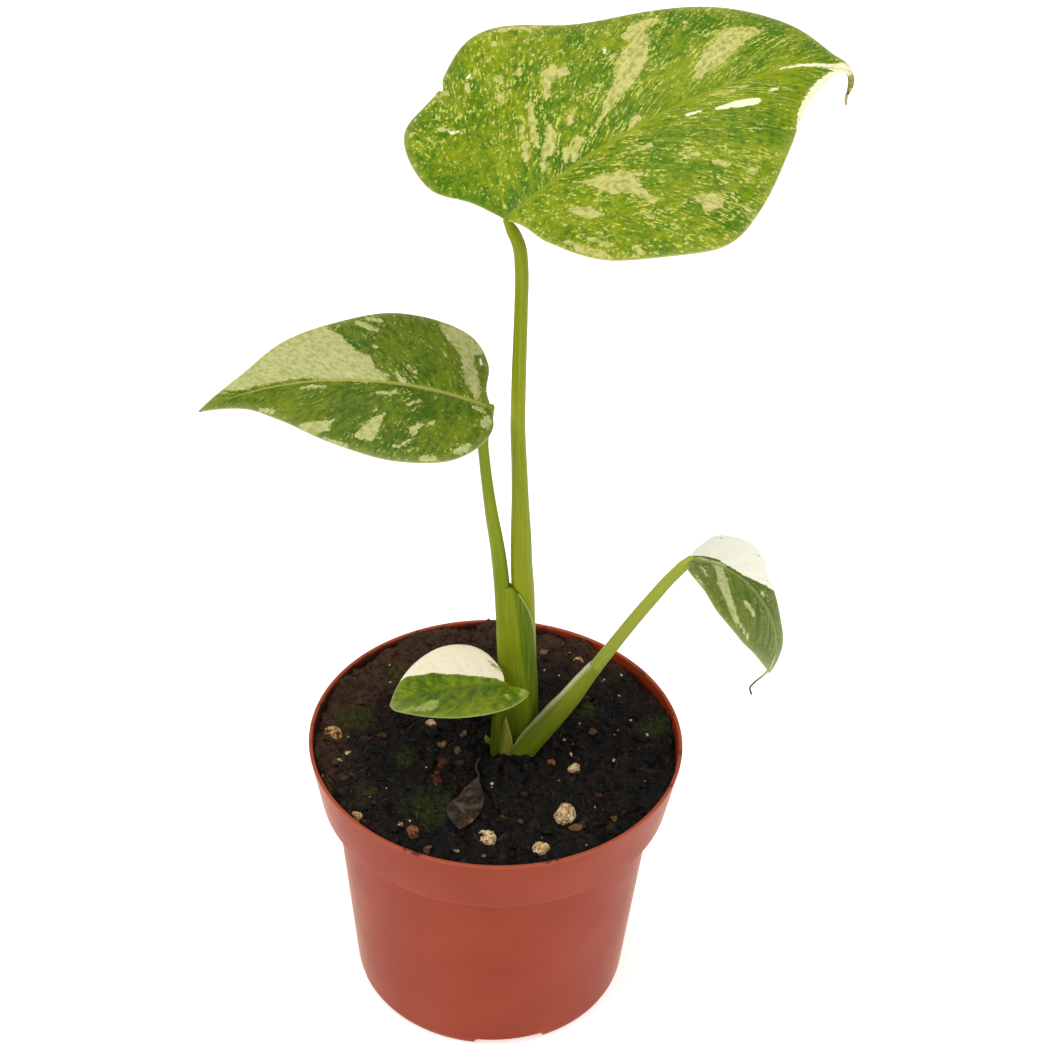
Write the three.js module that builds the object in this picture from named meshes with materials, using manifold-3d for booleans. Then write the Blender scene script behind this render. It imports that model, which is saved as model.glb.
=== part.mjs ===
// A young variegated monstera in its plastic nursery pot. Millimetres, +Z up.
// The origin is the middle of the pot's underside, and the plant's front faces -Y.

import * as THREE from 'three';
import { mergeVertices } from 'three/addons/utils/BufferGeometryUtils.js';
import Module from 'manifold-3d';

const wasm = await Module();
wasm.setup();

// Pot
const POT_HEIGHT = 96.6;
const RIM_RADIUS = 60;
const BAND_HEIGHT = 20.2;
const BAND_FOOT_RADIUS = 56.5;
const BODY_TOP_RADIUS = 52.1;
const BASE_RADIUS = 45.7;
const BASE_ROUNDING = 3;
const POT_WALL = 1.2;
const LIP_RADIUS = 0.8;
const EDGE_BREAK = 0.5;
const FLOOR_THICKNESS = 1.6;
const POT_SIDES = 56;
const NOTCH_COUNT = 4;
const NOTCH_TURN = 10;
const NOTCH_WIDTH = 28;
const NOTCH_HEIGHT = 2;
const NOTCH_REACH = 8;

// Soil
const SOIL_LEVEL = 91;
const SOIL_LUMP = 0.45;
const SOIL_MOUND = 1.6;
const SOIL_MOUND_REACH = 14;
const SOIL_RINGS = 9;
const SOIL_EDGE_DROP = 2.5;

// Clearance between pieces that touch, and the thickness of thin living pieces
const GAP = 0.3;
const BLADE_THICKNESS = 0.8;
const MIDRIB_STEP = 0.5;
const CURL_LENGTH = 50;
const WAVE_REACH = 45;
const LOBE_LIMIT = -0.3;
const MIDRIB_DEPTH = 1.3;
const SHEATH_WALL = 1.1;
const SHEATH_EDGE = 0.66;

// Crown: the short stem in the soil that every stalk and root grows from
const CROWN = { x: 6, y: 3, radius: 9, top: 87.5, foot: 70 };
const PIT_RADIUS = 10;
const ROOT_COUNT = 6;
const ROOT_RADIUS = 1.7;
const ROOT_TIP_RADIUS = 0.7;
const ROOT_REACH = 33;
const ROOT_FOOT = 14;
const ROOT_FOOT_SPREAD = 22;
const STALK_FOOT = CROWN.top + GAP;

const COLOURS = {
  pot: 0xa8543a, soil: 0x2a211c, crown: 0x8a7a52, stalk: 0x8a9a2e, blade: 0x6f8a2c, bract: 0xb9b98a,
  withered: 0x5b4a3c, paleGrain: 0xd9c7a0, brownGrain: 0xb06a35,
};

// Leaf blades. Angles are in degrees. A blade starts at its base, heads for an azimuth, rises, arches down
// along its length, and each half folds and curls about the midrib. An outline goes from base to tip, as
// distance along the midrib and distance out from it, for the half on the left and right of that heading.
const BLADES = {
  leaf_blade_1: {
    base: [-1.5, 2.1, 278.1], length: 122, heading: 11, rise: 41.5, arch: -36, archMore: -33, swing: 27.5,
    roll: 12.5, twist: 23.5, hook: 97, hookLength: 12, stations: 30, across: 6,
    left: {
      fold: 15, foldMore: -19, curl: -9, curlMore: -55, wave: [3, 60, -0.13],
      outline: [[0, 0], [-5.5, 11.5], [-14, 26], [-10.5, 51], [14.5, 58.5], [45, 51], [71.5, 34.5],
        [102.5, 18.5], [111, 5], [122, 0]],
    },
    right: {
      fold: 14.5, foldMore: -22, curl: -3.5, curlMore: -8, wave: [-2.2, 60, 0.25],
      outline: [[0, 0], [4, 9.5], [8, 23], [20, 43.5], [38.5, 50.5], [58.5, 39.5], [77, 24.5],
        [90, 12.5], [108.5, 1.5], [122, 0]],
    },
  },
  leaf_blade_2: {
    base: [-4.2, 0.6, 219.3], length: 87, heading: 180, rise: 22.5, arch: -47.5, archMore: -4, swing: 3,
    roll: -10.5, twist: -10.5, hook: 3, hookLength: 6, stations: 24, across: 5,
    left: {
      fold: 3.5, foldMore: -1, curl: -10, curlMore: 2, wave: [-0.4, 60, 0],
      outline: [[0, 0], [-1.5, 8.5], [2, 18.5], [10.5, 27], [27.5, 30], [45.5, 24], [61.5, 13], [71.5, 6],
        [87, 0]],
    },
    right: {
      fold: -2, foldMore: 6, curl: -7.5, curlMore: 0, wave: [0.4, 60, 0],
      outline: [[0, 0], [2, 6.5], [2.5, 18.5], [8.5, 28.5], [29, 30], [46.5, 23], [61, 16], [72, 7.5],
        [87, 0]],
    },
  },
  leaf_blade_3: {
    base: [57, 1.7, 167.5], length: 54, heading: -14, rise: 10, arch: -124.5, archMore: 6, swing: -29,
    roll: -11.5, twist: 7.5, hook: 0, hookLength: 4, stations: 20, across: 5,
    left: {
      fold: -1.5, foldMore: -2, curl: 5, curlMore: 0, wave: [0.5, 60, 0],
      outline: [[0, 0], [-0.5, 5.5], [1, 12.5], [4.5, 20.5], [16.5, 21.5], [24, 12.5], [35, 5.8], [45, 4.6],
        [54, 0]],
    },
    right: {
      fold: 1.5, foldMore: -9.5, curl: -18.5, curlMore: -2.5, wave: [0.3, 60, 0],
      outline: [[0, 0], [0, 5.5], [2.5, 10.5], [7.5, 16], [15.5, 21.5], [28, 18.8], [38.5, 11.8], [47, 5.5],
        [54, 0]],
    },
  },
  leaf_blade_4: {
    base: [2.4, -7.7, 123.7], length: 40, heading: 185, rise: 1.5, arch: -41, archMore: -3.5, swing: -23,
    roll: -4, twist: -10.5, hook: 0, hookLength: 4, stations: 18, across: 5,
    left: {
      fold: 12.5, foldMore: -0.5, curl: -5, curlMore: 0, wave: [0.3, 60, 0],
      outline: [[0, 0], [-7, 4.5], [-2.5, 12], [4.5, 16], [12, 16.5], [20.5, 14], [29.5, 9], [36, 4.5],
        [40, 0]],
    },
    right: {
      fold: 5, foldMore: 10, curl: -8, curlMore: 1, wave: [0.3, 60, 0],
      outline: [[0, 0], [0.5, 4.5], [2.5, 9], [6.5, 13.5], [12, 16], [21.5, 16], [31, 11.5], [37, 5.5],
        [40, 0]],
    },
  },
};

// The dried thread that the tip of blade 3 ends in: [x, y, z, radius]
const DRIED_TIP = [[83.2, -9, 134.5, 0.5], [81.5, -9, 132, 0.45], [79.3, -9, 129.4, 0.4],
  [78.1, -9, 127.1, 0.4], [78.8, -9, 124.6, 0.4]];

// Two small scale leaves at the foot of the stalks, upright blades that start in the pit around the crown
const BRACTS = {
  bract_1: {
    base: [3.2, -3.9, STALK_FOOT], length: 15.5, heading: 90, rise: 84, arch: 0, archMore: 0, swing: 0,
    roll: 0, twist: 0, hook: 0, hookLength: 1, stations: 8, across: 3,
    left: { fold: -10, foldMore: 0, curl: -500, curlMore: 0, wave: [0, 60, 0],
      outline: [[0, 0], [0.4, 1.5], [6, 1.9], [11, 1.2], [15.5, 0]] },
    right: { fold: -10, foldMore: 0, curl: -500, curlMore: 0, wave: [0, 60, 0],
      outline: [[0, 0], [0.4, 1.5], [6, 1.9], [11, 1.2], [15.5, 0]] },
  },
  bract_2: {
    base: [-2.4, 0.4, STALK_FOOT], length: 9.5, heading: 60, rise: 86, arch: 30, archMore: 0, swing: 0,
    roll: 0, twist: 0, hook: 0, hookLength: 1, stations: 6, across: 3,
    left: { fold: -8, foldMore: 0, curl: -500, curlMore: 0, wave: [0, 60, 0],
      outline: [[0, 0], [0.4, 1.2], [4, 1.5], [7, 1], [9.5, 0]] },
    right: { fold: -8, foldMore: 0, curl: -500, curlMore: 0, wave: [0, 60, 0],
      outline: [[0, 0], [0.4, 1.2], [4, 1.5], [7, 1], [9.5, 0]] },
  },
};

// An old leaf that has withered and lies on the soil, with its thread-thin stalk
const WITHERED = {
  base: [-4.9, -16, 1.2], length: 24, heading: 254, rise: 4, arch: -8, archMore: 0, swing: 0,
  roll: 0, twist: 0, hook: 0, hookLength: 1, stations: 10, across: 3,
  left: { fold: 4, foldMore: 0, curl: 10, curlMore: 0, wave: [20, 17, 0.2],
    outline: [[0, 0], [3, 1.5], [7, 4.5], [13, 6.5], [19, 5.5], [23, 2], [24, 0]] },
  right: { fold: 8, foldMore: 0, curl: 30, curlMore: 0, wave: [16, 14, 0.6],
    outline: [[0, 0], [3, 1.2], [7, 3.5], [13, 6.5], [18.5, 7], [22.5, 3.5], [24, 0]] },
};
const WITHERED_STALK = {
  path: [[-5.1, -7.2], [-5.9, -11], [-4.9, -16], [-5.2, -18]], radius: 0.55, lift: 1.1,
};

const STALK_3_RADIUS = 2.2;

// Stalks: points of the centre line from the crown up, each with its radius
const STALKS = {
  leaf_stalk_1: [[8.5, 5.6, STALK_FOOT, 3.4], [8.8, 5.4, 104, 3.6], [8.6, 5.2, 116, 3.7], [8, 4.9, 128, 3.7],
    [7.4, 4.6, 140, 3.65], [6.9, 4.2, 152, 3.5], [6.2, 3.8, 162, 3.3], [5.7, 3.4, 173, 3.1],
    [5.1, 3, 186, 2.55], [4.5, 2.7, 198, 2.3], [3.7, 2.4, 212, 2.15], [3.5, 2.2, 230, 2.05],
    [3.5, 2, 250, 1.9], [3.3, 1.9, 263, 1.9], [2.3, 2, 270.8, 1.85], [-1, 2.1, 277.7, 1.7]],
  leaf_stalk_2: [[3, 5, STALK_FOOT, 2.3], [3, 4.8, 104, 2.4], [2.7, 4.5, 116, 2.4], [2, 4.2, 130, 2.45],
    [1.1, 3.8, 144, 2.45], [0.2, 3.3, 156, 2.4], [-0.9, 2.7, 166, 2.25], [-1.9, 2.3, 173, 2.1],
    [-3.1, 1.9, 180.3, 1.95], [-4.3, 1.5, 189, 1.75], [-5.6, 1.1, 200, 1.6], [-6.2, 0.8, 209, 1.6],
    [-4.2, 0.6, 219.3, 1.6]],
  leaf_stalk_3: [[8.6, -1.9, STALK_FOOT, STALK_3_RADIUS], [12.6, -1.8, 94.7, STALK_3_RADIUS],
    [18.5, -1.5, 104.1, STALK_3_RADIUS],
    [23.7, -1.2, 112.9, 2.15], [29.5, -0.8, 124.5, 2.1], [36.1, -0.3, 136, 2], [42.2, 0.2, 146.3, 1.95],
    [46.3, 0.6, 152.7, 1.9], [50.6, 1, 159.3, 1.8], [57, 1.7, 167.5, 1.7]],
  leaf_stalk_4: [[0, -2.3, STALK_FOOT, 1.6], [-0.2, -2.9, 97, 1.55], [0.2, -4.2, 108, 1.45],
    [1, -5.8, 116, 1.35], [2.4, -7.7, 123.7, 1.3]],
};

// The sheath of stalk 2 wraps stalk 1. Its top edge falls from the stalk's own side, at 180 degrees, to an
// open side on the right: [degrees from +X, height of the edge].
const WRAP_EDGE = [[-180, 156], [-135, 154.5], [-103, 153], [-53, 145.5], [-26, 135], [-12, 112], [10, 98],
  [40, 98], [70, 118], [105, 140], [140, 153], [180, 156]];
const WRAP_FOOT = STALK_FOOT + 1.5;
const WRAP_CLEAR = 0.6;

// The sheath of stalk 3 is a trough that opens up and to the left:
// [distance up the stalk as a share of the trough, height of its side, half its breadth]
const TROUGH_SIDES = [[0, 7.5, 3.6], [0.3, 9.8, 4], [0.5, 10.4, 4], [0.78, 7.6, 3.2], [1, 5, 2.4]];
const TROUGH_TOP = 0.43;
const TROUGH_TURN = 115;
const TROUGH_TILT = 0.08;

// Pale pumice and brown bark grains in the soil: [x, y, size, turn, brown or pale]
const GRAINS = [[-53, 2.5, 6.4, 20], [22.5, -30.5, 7.2, 80], [-1.3, -43, 5.6, 140], [15.3, -47.5, 5.2, 200],
  [-41.7, -35, 3.6, 250], [-24, -41, 4.4, 300, true], [25.3, -10, 4, 30], [17.9, -7.5, 3, 95, true],
  [-21.6, 10.5, 3.2, 160], [26.6, 43, 3.6, 220]];
const GRAIN_SUNK = 0.28;
const GRAIN_ROUGHNESS = 0.16;

const DEGREE = Math.PI / 180;

// Slivers that a cut leaves are smoothed away by up to this many millimetres
const SMOOTHING = 0.02;

// Small seeded random numbers, so that every run draws the same shapes
function randomSource(seed) {
  let state = seed;
  return () => {
    state = (state * 1664525 + 1013904223) % 4294967296;
    return state / 4294967296;
  };
}

// Solids

function solidFrom(geometry) {
  const bare = geometry.clone();
  bare.deleteAttribute('normal');
  bare.deleteAttribute('uv');
  const merged = mergeVertices(bare, 1e-4);
  const position = merged.getAttribute('position').array;
  const index = merged.getIndex().array;
  const faces = [];
  let volume = 0;
  for (let i = 0; i < index.length; i += 3) {
    const [a, b, c] = [index[i], index[i + 1], index[i + 2]];
    if (a === b || b === c || a === c) continue;
    faces.push(a, b, c);
    const [p, q, r] = [a, b, c].map((k) => new THREE.Vector3().fromArray(position, 3 * k));
    volume += p.dot(q.cross(r));
  }
  if (volume < 0) faces.reverse();
  const vertProperties = new Float32Array(position);
  const triVerts = new Uint32Array(faces);
  return new wasm.Manifold(new wasm.Mesh({ numProp: 3, vertProperties, triVerts }));
}

// The largest body of a solid: what a cut leaves of it, without scraps
function mainBody(solid) {
  const bodies = solid.decompose();
  return bodies.reduce((best, body) => (body.volume() > best.volume() ? body : best));
}

function geometryFrom(solid) {
  const mesh = mainBody(solid).simplify(SMOOTHING).getMesh();
  const geometry = new THREE.BufferGeometry();
  geometry.setAttribute('position', new THREE.BufferAttribute(new Float32Array(mesh.vertProperties), 3));
  geometry.setIndex(new THREE.BufferAttribute(new Uint32Array(mesh.triVerts), 1));
  return geometry;
}

function surface(points, triangles) {
  const geometry = new THREE.BufferGeometry();
  const numbers = points.flatMap((p) => [p.x, p.y, p.z]);
  geometry.setAttribute('position', new THREE.Float32BufferAttribute(numbers, 3));
  geometry.setIndex(triangles);
  return solidFrom(geometry);
}

// A closed body from rings of equally many points: walls between rings, and a flat cap on each end
function loft(rings) {
  const count = rings[0].length;
  const points = rings.flat();
  const triangles = [];
  for (let row = 0; row + 1 < rings.length; row += 1) {
    for (let k = 0; k < count; k += 1) {
      const a = row * count + k;
      const b = row * count + ((k + 1) % count);
      triangles.push(a, b, b + count, a, b + count, a + count);
    }
  }
  for (const [row, turned] of [[0, true], [rings.length - 1, false]]) {
    const flat = rings[row];
    const middle = points.length;
    points.push(flat.reduce((sum, p) => sum.add(p), new THREE.Vector3()).divideScalar(count));
    for (let k = 0; k < count; k += 1) {
      const a = row * count + k;
      const b = row * count + ((k + 1) % count);
      triangles.push(...(turned ? [b, a, middle] : [a, b, middle]));
    }
  }
  return surface(points, triangles);
}

// A value read from [place, value] pairs by straight lines between them
function between(pairs, place, column = 1) {
  const last = pairs.length - 1;
  if (place <= pairs[0][0]) return pairs[0][column];
  if (place >= pairs[last][0]) return pairs[last][column];
  const k = pairs.findIndex((pair) => pair[0] >= place) || 1;
  const share = (place - pairs[k - 1][0]) / (pairs[k][0] - pairs[k - 1][0]);
  return pairs[k - 1][column] + share * (pairs[k][column] - pairs[k - 1][column]);
}

function centreLine(points) {
  return new THREE.CatmullRomCurve3(points.map(([x, y, z]) => new THREE.Vector3(x, y, z)));
}

// A round stem along [x, y, z, radius] points, on a smooth curve through them
function stem(points, sides, steps, grow = 0) {
  const line = centreLine(points);
  const across = new THREE.Vector3(0, 1, 0);
  const rings = [];
  for (let i = 0; i <= steps; i += 1) {
    const t = i / steps;
    const place = t * (points.length - 1);
    const low = Math.min(Math.floor(place), points.length - 2);
    const radius = grow + THREE.MathUtils.lerp(points[low][3], points[low + 1][3], place - low);
    const centre = line.getPoint(t);
    const ahead = line.getTangent(t);
    const side = new THREE.Vector3().crossVectors(ahead, across).normalize();
    const other = new THREE.Vector3().crossVectors(ahead, side);
    rings.push(Array.from({ length: sides }, (_, k) => {
      const angle = (2 * Math.PI * k) / sides;
      return centre.clone().addScaledVector(side, radius * Math.cos(angle))
        .addScaledVector(other, radius * Math.sin(angle));
    }));
  }
  return loft(rings);
}

// Pot and soil

function turned(profile) {
  const geometry = new THREE.LatheGeometry(profile.map(([r, z]) => new THREE.Vector2(r, z)), POT_SIDES);
  geometry.rotateX(Math.PI / 2);
  return geometry;
}

function bandRadius(z) {
  const share = (z - (POT_HEIGHT - BAND_HEIGHT)) / BAND_HEIGHT;
  return BAND_FOOT_RADIUS + share * (RIM_RADIUS - BAND_FOOT_RADIUS);
}

function makePot() {
  const ledge = POT_HEIGHT - BAND_HEIGHT;
  const lip = POT_HEIGHT - LIP_RADIUS;
  const inside = BODY_TOP_RADIUS - POT_WALL;
  const profile = [
    [0, 0], [BASE_RADIUS - BASE_ROUNDING, 0], [BASE_RADIUS - 0.3 * BASE_ROUNDING, 0.3 * BASE_ROUNDING],
    [BASE_RADIUS, BASE_ROUNDING], [BODY_TOP_RADIUS, ledge], [BAND_FOOT_RADIUS - EDGE_BREAK, ledge],
    [BAND_FOOT_RADIUS, ledge + EDGE_BREAK], [bandRadius(lip), lip],
    [RIM_RADIUS - 0.3 * LIP_RADIUS, POT_HEIGHT - 0.3 * LIP_RADIUS], [RIM_RADIUS - LIP_RADIUS, POT_HEIGHT],
    [RIM_RADIUS - POT_WALL, lip], [bandRadius(ledge + POT_WALL) - POT_WALL, ledge + POT_WALL],
    [inside + EDGE_BREAK, ledge + POT_WALL], [inside, ledge + EDGE_BREAK],
    [BASE_RADIUS - POT_WALL, BASE_ROUNDING], [BASE_RADIUS - POT_WALL - EDGE_BREAK, FLOOR_THICKNESS],
    [0, FLOOR_THICKNESS],
  ];
  let pot = solidFrom(turned(profile));
  const half = (NOTCH_WIDTH / 2) * DEGREE;
  for (let k = 0; k < NOTCH_COUNT; k += 1) {
    const middle = (NOTCH_TURN - 90 + (360 / NOTCH_COUNT) * k) * DEGREE;
    const sector = new THREE.Shape();
    sector.absarc(0, 0, BASE_RADIUS + 5, middle - half, middle + half, false);
    sector.absarc(0, 0, BASE_RADIUS - NOTCH_REACH, middle + half, middle - half, true);
    sector.closePath();
    const cut = { depth: NOTCH_HEIGHT + 1, bevelEnabled: false, curveSegments: 6 };
    const notch = new THREE.ExtrudeGeometry(sector, cut);
    notch.translate(0, 0, -1);
    pot = pot.subtract(solidFrom(notch));
  }
  return pot;
}

const soilWaves = (() => {
  const random = randomSource(7);
  return Array.from({ length: 6 }, () => ({
    turn: 2 * Math.PI * random(), length: 17 + 14 * random(), phase: 2 * Math.PI * random(),
  }));
})();

function soilHeight(x, y) {
  const lumps = soilWaves.reduce((sum, wave) => {
    const along = x * Math.cos(wave.turn) + y * Math.sin(wave.turn);
    return sum + Math.sin((2 * Math.PI * along) / wave.length + wave.phase);
  }, 0);
  const away = Math.hypot(x - CROWN.x, y - CROWN.y) / SOIL_MOUND_REACH;
  return SOIL_LEVEL + SOIL_LUMP * lumps + SOIL_MOUND * Math.exp(-away * away);
}

function makeSoilBed() {
  const ledge = POT_HEIGHT - BAND_HEIGHT + POT_WALL + GAP;
  const inside = (BODY_TOP_RADIUS - POT_WALL) - GAP;
  const edgeHeight = SOIL_LEVEL - SOIL_EDGE_DROP;
  const edge = bandRadius(edgeHeight) - POT_WALL - GAP;
  const foot = FLOOR_THICKNESS + GAP;
  const profile = [
    [0, foot], [BASE_RADIUS - POT_WALL - 2 * EDGE_BREAK, foot],
    [BASE_RADIUS - POT_WALL - GAP, BASE_ROUNDING + GAP], [inside, ledge],
    [bandRadius(ledge) - POT_WALL - 2 * GAP, ledge], [edge, edgeHeight],
  ];
  for (let ring = SOIL_RINGS; ring >= 0; ring -= 1) profile.push([(edge * ring) / SOIL_RINGS, SOIL_LEVEL]);
  const geometry = turned(profile);
  const position = geometry.getAttribute('position');
  for (let i = 0; i < position.count; i += 1) {
    if (Math.abs(position.getZ(i) - SOIL_LEVEL) < 0.01) {
      position.setZ(i, soilHeight(position.getX(i), position.getY(i)));
    }
  }
  return solidFrom(geometry);
}

// Leaf blades

// Step along the midrib: arch turns the direction of travel down, swing turns it sideways, and the hook
// bends the last stretch. Returns the place and the directions to the left and up at x mm along.
function midribFrames(leaf) {
  const step = MIDRIB_STEP;
  const slopeAt = (x) => {
    const s = Math.max(x, 0) / leaf.length;
    const bent = THREE.MathUtils.smoothstep(x, leaf.length - leaf.hookLength, leaf.length);
    return (leaf.rise + leaf.arch * s + leaf.archMore * s * s - leaf.hook * bent) * DEGREE;
  };
  const headingAt = (x) => (leaf.heading + (leaf.swing * Math.max(x, 0)) / leaf.length) * DEGREE;
  const ahead = (x) => {
    const [slope, heading] = [slopeAt(x), headingAt(x)];
    const level = Math.cos(slope);
    return new THREE.Vector3(level * Math.cos(heading), level * Math.sin(heading), Math.sin(slope));
  };
  const places = [new THREE.Vector3(...leaf.base)];
  for (let x = 0; x < leaf.length; x += step) {
    const travel = ahead(x).add(ahead(x + step)).multiplyScalar(step / 2);
    places.push(places[places.length - 1].clone().add(travel));
  }
  const placeAt = (x) => {
    if (x <= 0) return places[0].clone().addScaledVector(ahead(0), x);
    const k = Math.min(Math.floor(x / step), places.length - 2);
    return places[k].clone().lerp(places[k + 1], x / step - k);
  };
  return (x) => {
    const [slope, heading] = [slopeAt(x), headingAt(x)];
    const roll = (leaf.roll + leaf.twist * THREE.MathUtils.clamp(x / leaf.length, 0, 1)) * DEGREE;
    const level = new THREE.Vector3(-Math.sin(heading), Math.cos(heading), 0);
    const lean = -Math.sin(slope);
    const upright = new THREE.Vector3(lean * Math.cos(heading), lean * Math.sin(heading), Math.cos(slope));
    const left = level.clone().multiplyScalar(Math.cos(roll)).addScaledVector(upright, Math.sin(roll));
    const up = level.clone().multiplyScalar(-Math.sin(roll)).addScaledVector(upright, Math.cos(roll));
    return { place: placeAt(x), left, up };
  };
}

// A flat point of a half-blade, x along and d out, bent to its place: an arc of the half's curl, which
// starts at its fold, with one wave that grows towards the margin
function bendBlade(leaf, frameAt, side, x, d) {
  const half = side > 0 ? leaf.left : leaf.right;
  const s = THREE.MathUtils.clamp(x / leaf.length, LOBE_LIMIT, 1);
  const fold = (half.fold + half.foldMore * s) * DEGREE;
  const bow = ((half.curl + half.curlMore * s) * DEGREE * d) / (2 * CURL_LENGTH);
  const chord = Math.abs(bow) < 1e-6 ? 1 : Math.sin(bow) / bow;
  const [height, length, phase] = half.wave;
  const wave = height * (d / WAVE_REACH) ** 2 * Math.sin(2 * Math.PI * (x / length + phase));
  const { place, left, up } = frameAt(x);
  return place.addScaledVector(left, side * d * Math.cos(fold + bow) * chord)
    .addScaledVector(up, d * Math.sin(fold + bow) * chord + wave);
}

// Rows crowd towards the base, and columns towards the midrib
const ROW_SPREAD = 1.4;
const COLUMN_SPREAD = 1.35;

// A blade of even thickness, split into triangles alike on both faces, with a rib under its midrib
function makeBlade(leaf, thickness, rib, drape = null) {
  const frameAt = midribFrames(leaf);
  const outlines = [1, -1].map((side) => new THREE.CatmullRomCurve3(
    (side > 0 ? leaf.left : leaf.right).outline.map(([x, d]) => new THREE.Vector3(x, d, 0)),
  ));
  const rows = leaf.stations;
  const columns = leaf.across;
  const flat = (row, column) => {
    const t = row / rows;
    const side = column < 0 ? -1 : 1;
    const edge = outlines[side > 0 ? 0 : 1].getPoint(t);
    const root = leaf.length * t ** ROW_SPREAD;
    const out = (Math.abs(column) / columns) ** COLUMN_SPREAD;
    return { side, x: root + (edge.x - root) * out, d: edge.y * out };
  };
  const middle = (side, x, d) => {
    const p = bendBlade(leaf, frameAt, side, x, Math.max(d, 0));
    return drape ? drape(p) : p;
  };
  const normalAt = ({ side, x, d }) => {
    const step = MIDRIB_STEP;
    const along = middle(side, x + step, d).sub(middle(side, x - step, d));
    const out = middle(side, x, d + step).sub(middle(side, x, d));
    if (d < 1e-6) out.sub(middle(-side, x, step).sub(middle(-side, x, 0)));
    return new THREE.Vector3().crossVectors(along, out).multiplyScalar(side).normalize();
  };
  const upper = [];
  const lower = [];
  const numbers = new Map();
  const numberOf = (row, column) => {
    const key = row === 0 || row === rows ? `${row}` : `${row},${column}`;
    if (!numbers.has(key)) {
      const spot = flat(row, row === 0 || row === rows ? 0 : column);
      const point = middle(spot.side, spot.x, spot.d);
      const normal = normalAt(spot);
      const along = THREE.MathUtils.clamp(spot.x / leaf.length, 0, 1);
      const under = column === 0 ? rib * (1 - along) : 0;
      numbers.set(key, upper.length);
      upper.push(point.clone().addScaledVector(normal, thickness / 2));
      lower.push(point.clone().addScaledVector(normal, -thickness / 2 - under));
    }
    return numbers.get(key);
  };
  const triangles = [];
  for (let row = 0; row < rows; row += 1) {
    for (let column = -columns; column < columns; column += 1) {
      const [a, b] = [numberOf(row, column), numberOf(row + 1, column)];
      const [c, d] = [numberOf(row + 1, column + 1), numberOf(row, column + 1)];
      const split = column < 0 ? [[a, b, d], [b, c, d]] : [[a, b, c], [a, c, d]];
      triangles.push(...split.filter(([p, q, r]) => p !== q && q !== r && p !== r));
    }
  }
  const rim = [];
  for (let row = 0; row < rows; row += 1) rim.push(numberOf(row, -columns));
  for (let row = rows; row > 0; row -= 1) rim.push(numberOf(row, columns));
  const count = upper.length;
  const faces = triangles.flatMap(([a, b, c]) => [a, b, c, c + count, b + count, a + count]);
  rim.forEach((a, k) => {
    const b = rim[(k + 1) % rim.length];
    faces.push(b, a, a + count, b, a + count, b + count);
  });
  return surface([...upper, ...lower], faces);
}

// Sheaths

// A thin wall round stalk 1, from the crown up to the falling edge
function makeWrap(grow = 0) {
  const sides = 28;
  const rows = 9;
  const line = STALKS.leaf_stalk_1;
  const heights = line.map(([x, y, z, radius]) => [z, x, y, radius]);
  const spot = (row, k, inner) => {
    const angle = -180 + (360 * k) / sides;
    const top = between(WRAP_EDGE, angle) + grow;
    const z = THREE.MathUtils.lerp(WRAP_FOOT, top, row / rows);
    const wall = THREE.MathUtils.lerp(SHEATH_WALL, SHEATH_EDGE, row / rows);
    const radius = between(heights, z, 3) + WRAP_CLEAR + (inner ? -grow : wall + grow);
    const out = new THREE.Vector3(Math.cos(angle * DEGREE), Math.sin(angle * DEGREE), 0);
    return out.multiplyScalar(radius).add({ x: between(heights, z, 1), y: between(heights, z, 2), z });
  };
  const wall = (inner) => Array.from({ length: rows + 1 }, (_, row) => (
    Array.from({ length: sides }, (__, k) => spot(row, k, inner))));
  const rings = [...wall(false), ...wall(true).reverse()];
  const points = rings.flat();
  const triangles = [];
  rings.forEach((_, row) => {
    const next = (row + 1) % rings.length;
    for (let k = 0; k < sides; k += 1) {
      const b = (k + 1) % sides;
      triangles.push(row * sides + k, row * sides + b, next * sides + b);
      triangles.push(row * sides + k, next * sides + b, next * sides + k);
    }
  });
  return surface(points, triangles);
}

// A trough along the foot of stalk 3: at each place a bowed wall whose lowest line is the stalk's own
function makeTrough(grow = 0) {
  const line = centreLine(STALKS.leaf_stalk_3);
  const rows = 12;
  const turns = 12;
  const rings = [];
  for (let row = 0; row <= rows; row += 1) {
    const share = row / rows;
    const centre = line.getPoint(TROUGH_TOP * share);
    const ahead = line.getTangent(TROUGH_TOP * share);
    const open = new THREE.Vector3(-ahead.z, 0, ahead.x).normalize();
    const height = between(TROUGH_SIDES, share, 1);
    const breadth = between(TROUGH_SIDES, share, 2);
    const reach = 1 - Math.cos(TROUGH_TURN * DEGREE);
    const bottom = centre.clone().addScaledVector(open, -STALK_3_RADIUS - grow);
    const at = (turn, depth) => {
      const angle = turn * TROUGH_TURN * DEGREE;
      const side = height * (1 + TROUGH_TILT * turn);
      const hub = side / reach;
      const across = (breadth - depth) * Math.sin(angle);
      const rise = hub - (hub - depth) * Math.cos(angle);
      return bottom.clone().add(new THREE.Vector3(0, across, 0)).addScaledVector(open, rise);
    };
    const turnsOut = Array.from({ length: turns + 1 }, (_, k) => -1 + (2 * k) / turns);
    const outside = turnsOut.map((turn) => at(turn, -grow));
    const inside = turnsOut.reverse().map((turn) => at(turn, SHEATH_WALL + grow));
    rings.push([...outside, ...inside]);
  }
  return loft(rings);
}

// Crown, roots and grains

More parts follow.
